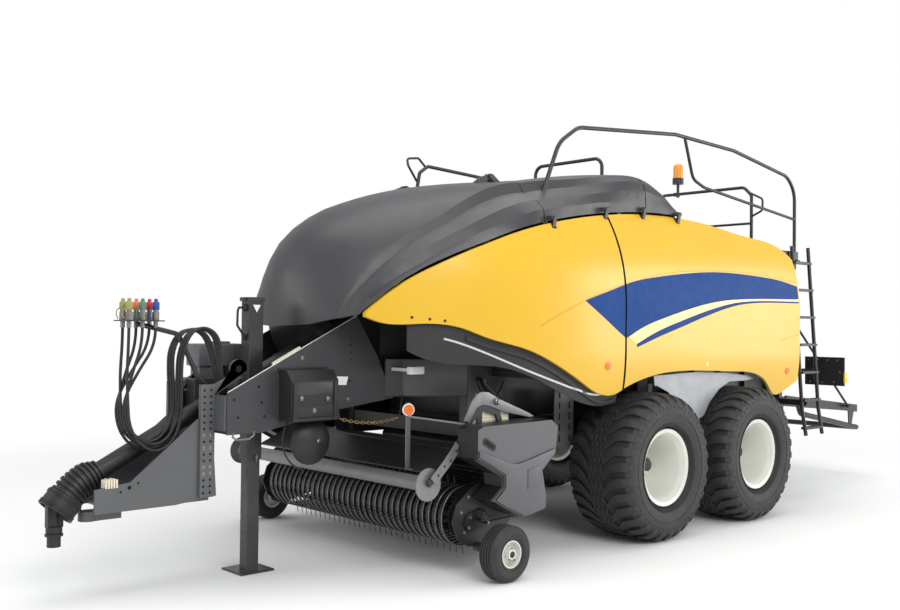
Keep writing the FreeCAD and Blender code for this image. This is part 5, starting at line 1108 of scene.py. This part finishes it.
# ---- rear --------------------------------------------------------------------------------------
def light_board_details(side_name, side):
    """Bolts, outer marker and lamp lenses of a light board."""
    bolts = ((850, 1386), (950, 1392), (1060, 1384), (1170, 1390), (866, 1156), (1000, 1150), (1130, 1160),
             (1196, 1262), (900, 1290))
    spots = [(-3420, side * y, z) for y, z in bolts]
    dotted("light_board_bolts_" + side_name, STEEL, button, spots, (1, 0, 0), 8, 6)
    marker = Build().box((-3452, -3408), across(side, 1244, 1262), (1152, 1262), 4)
    marker.done("side_marker_" + side_name, MARKER)
    for look, name, low, high in ((RED_LENS, "tail_lens_", 950, 1118), (ORANGE, "turn_lens_", 1122, 1200)):
        b = Build()
        b.box((-3480, -3471), across(side, low, high), (1206, 1324), 5)
        for k in range(5):
            b.box((-3482, -3479), across(side, low + 6, high - 6), (1216 + 22 * k, 1226 + 22 * k), 1)
        b.done(name + side_name, look, slot="")


TREADS = range(700, 2381, 280)       # heights of the ladder's treads
LADDER_LEAN = 0.075                  # how far the ladder leans inwards, per height


def ladder_grips():
    """Pressed grips on the ladder's treads."""
    b = Build()
    for z in TREADS:
        y = 1120 - (z - 900) * LADDER_LEAN
        for k in range(11):
            b.box((-3078 + 28 * k, -3064 + 28 * k), (y - 14, y + 36), (z + 23, z + 27), 1)
    b.done("tread_grips", DARK_STEEL)


def cover_seam(side_name, side):
    """Seam line across the shoulder of the rear cover."""
    hull = hull_of("rear_cover")
    line = []
    for z in range(2700, 2990, 24):
        spot, normal = touch(hull, -150, z, side)
        line.append(Vector(spot) + normal * 1.2)
    Build().rod(line, 2.6, 6).done("cover_seam_" + side_name, HOLE)


FRAME_SIDE_Y = 745.5                 # outer face of the frame's side plates, with a hair's gap
SPRING_Y, SPRING_R = 786.0, 13.0


def spring(b, side, start, end):
    """Coil spring between two points (x, z), with a pin at each end."""
    first, last = (Vector((x, side * SPRING_Y, z)) for x, z in (start, end))
    run = (last - first).normalized()
    up, aside = run.cross(Vector((0, 1, 0))), Vector((0, 1, 0))
    coil = []
    for k in range(161):
        turn = 2 * math.pi * k / 10
        spot = first.lerp(last, 0.12 + 0.76 * k / 160)
        coil.append(spot + SPRING_R * (math.cos(turn) * up + math.sin(turn) * aside))
    b.rod([first, *coil, last], 3, 6)
    for x, z in (start, end):
        b.rod([(x, side * (FRAME_SIDE_Y + 0.5), z), (x, side * 796, z)], 8, 12)


def linkage(side_name, side):
    """Lever, springs and rods behind the trim, on the frame's side plates."""
    face = FRAME_SIDE_Y
    out = (0, side, 0)
    pins = ((1362, 1090), (1436, 1304))
    b = Build()
    lever = [(1330, 1050), (1372, 1040), (1398, 1180), (1470, 1300), (1452, 1330), (1405, 1318), (1352, 1190)]
    b.plate_y(lever, *across(side, face, face + 9.5), 2)
    b.plate_y([(1190, 1010), (1480, 1010), (1480, 1034), (1190, 1034)], *across(side, face, face + 18.5), 1.5)
    for x, z in pins:
        b.rod([(x, side * 750, z), (x, side * 800, z)], 11, 14)
    b.rod([(1362, side * 792, 1090), (1240, side * 792, 1255), (1205, side * 780, 1290)], 6, 10)
    b.done("levers_" + side_name, DARK_STEEL)
    b = Build()
    spring(b, side, (1436, 1304), (1215, 1120))
    spring(b, side, (1215, 1424), (1450, 1424))
    b.done("springs_" + side_name, STEEL)
    b = Build()
    for x, z in pins:
        b.bolt((x, side * 798, z), out, 22, 10)
    for x, y, z in ((1210, 764, 1022), (1300, 764, 1022), (1400, 764, 1022), (1465, 764, 1022),
                    (1220, 745, 1200), (1480, 745, 1200)):
        b.bolt((x, side * y, z), out, 17, 8)
    b.done("linkage_bolts_" + side_name, STEEL)


def slotted_plates(side_name, side):
    """Lighter slotted plates ahead of the front wheels."""
    face = 849.0
    plate = Build().box((468, 702), across(side, face, face + 4), (756, 1218), 1)
    plate.done("slotted_plate_" + side_name, PLATE_GREY)
    b = Build()
    for row in range(5):
        for x in (520, 640):
            z = 790 + 88 * row
            outline = [(x - 9, z), (x + 9, z), (x + 9, z + 56), (x - 9, z + 56)]
            b.plate_y(outline, *across(side, face + 3, face + 4.8))
    b.done("plate_slots_" + side_name, HOLE)


# ---- hoses -------------------------------------------------------------------------------------
HOSE_DIAMETER = 0.019
HOSE_LENGTHS = (2.572, 2.490, 2.432, 2.549, 2.471, 2.531)


def hose_route(i):
    """The hose's route, in millimetres from the front axle, as in the part's source."""
    x, y = coupler_spot(i)
    bulkhead_x, bulkhead_z, end_y = 3222, 1060, 102 + 20.5 * i
    swing = 6 * i
    front = 3995 - swing
    low = 882 + 13 * (2 * i % 5)
    loop_y = 76 + 22.2 * i
    top_y = (78, 99, 120, 180, 201, 222)[i]
    return [(x, y, HOLDER_Z - 40), (x, y, HOLDER_Z - 150), ((x + front) / 2 + 8, (y + loop_y) / 2, 1400),
            (front, loop_y, 1220), (front - 12, loop_y, 1060), (front - 85, loop_y, low + 60),
            (3795 - swing, loop_y, low), (3690 - swing, loop_y, low + 55), (3630 - swing, loop_y, low + 185),
            (3625 - swing, loop_y, low + 335), (3640 - swing, (loop_y + top_y) / 2, 1400),
            (3638 - swing, top_y, 1535), (3578 - swing, top_y, 1646 + 3 * i),
            (3478 - swing, top_y, 1676 + 3 * i), (3384 - swing, top_y, 1632),
            (3344 - swing / 2, (top_y + end_y) / 2, 1510), (3315, end_y, 1370), (3270, end_y, 1245),
            (bulkhead_x, end_y, 1150), (bulkhead_x, end_y, bulkhead_z)]


def add_hoses():
    for i, length in enumerate(HOSE_LENGTHS):
        route = [place(*point) for point in hose_route(i)]
        curve = bpy.data.curves.new("hydraulic_hose_%d" % (i + 1), "CURVE")
        curve.dimensions = "3D"
        curve.bevel_depth = HOSE_DIAMETER / 2
        curve.bevel_resolution = 4
        curve.use_fill_caps = True
        line = curve.splines.new("NURBS")
        line.points.add(len(route) - 1)
        for point, spot in zip(line.points, route):
            point.co = (*spot, 1)
        line.order_u = 3
        line.use_endpoint_u = True
        line.resolution_u = 8
        hose = link_piece(curve.name, curve, HOSE, "chassis", "hose_rubber")
        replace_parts(hose, "hose_%d" % (i + 1))


set_camera()
area_light("key", (5, 10, 8), (0, 0.5, 1.4), (7, 5), 620)
area_light("fill", (12, -4, 5), (1, 0, 1.2), (6, 5), 220)
area_light("top", (0, 0, 11), (0, 0, 0), (12, 8), 560)
area_light("sheen", (-9, 8, 3.2), (-1, 1.4, 2.0), (6, 5), 420)
set_world(0.6)
set_floor()
dress_nodes()
add_hoses()
add_wheels()
for side_name, side in SIDES:
    for make in (door_films, reflectors, trim_edge, cheek_details, tongue_details, shield_details, arm_plates,
                 gauge_links, light_board_details, cover_seam, linkage, slotted_plates):
        make(side_name, side)
for make in (drawbar_front, ladder_grips, pickup_back, far_shade, chain, valve_cover, jack_details,
             coupler_caps, crop_bracket):
    make()
for side_name, side in SIDES:
    pickup_bolts(side_name, side)
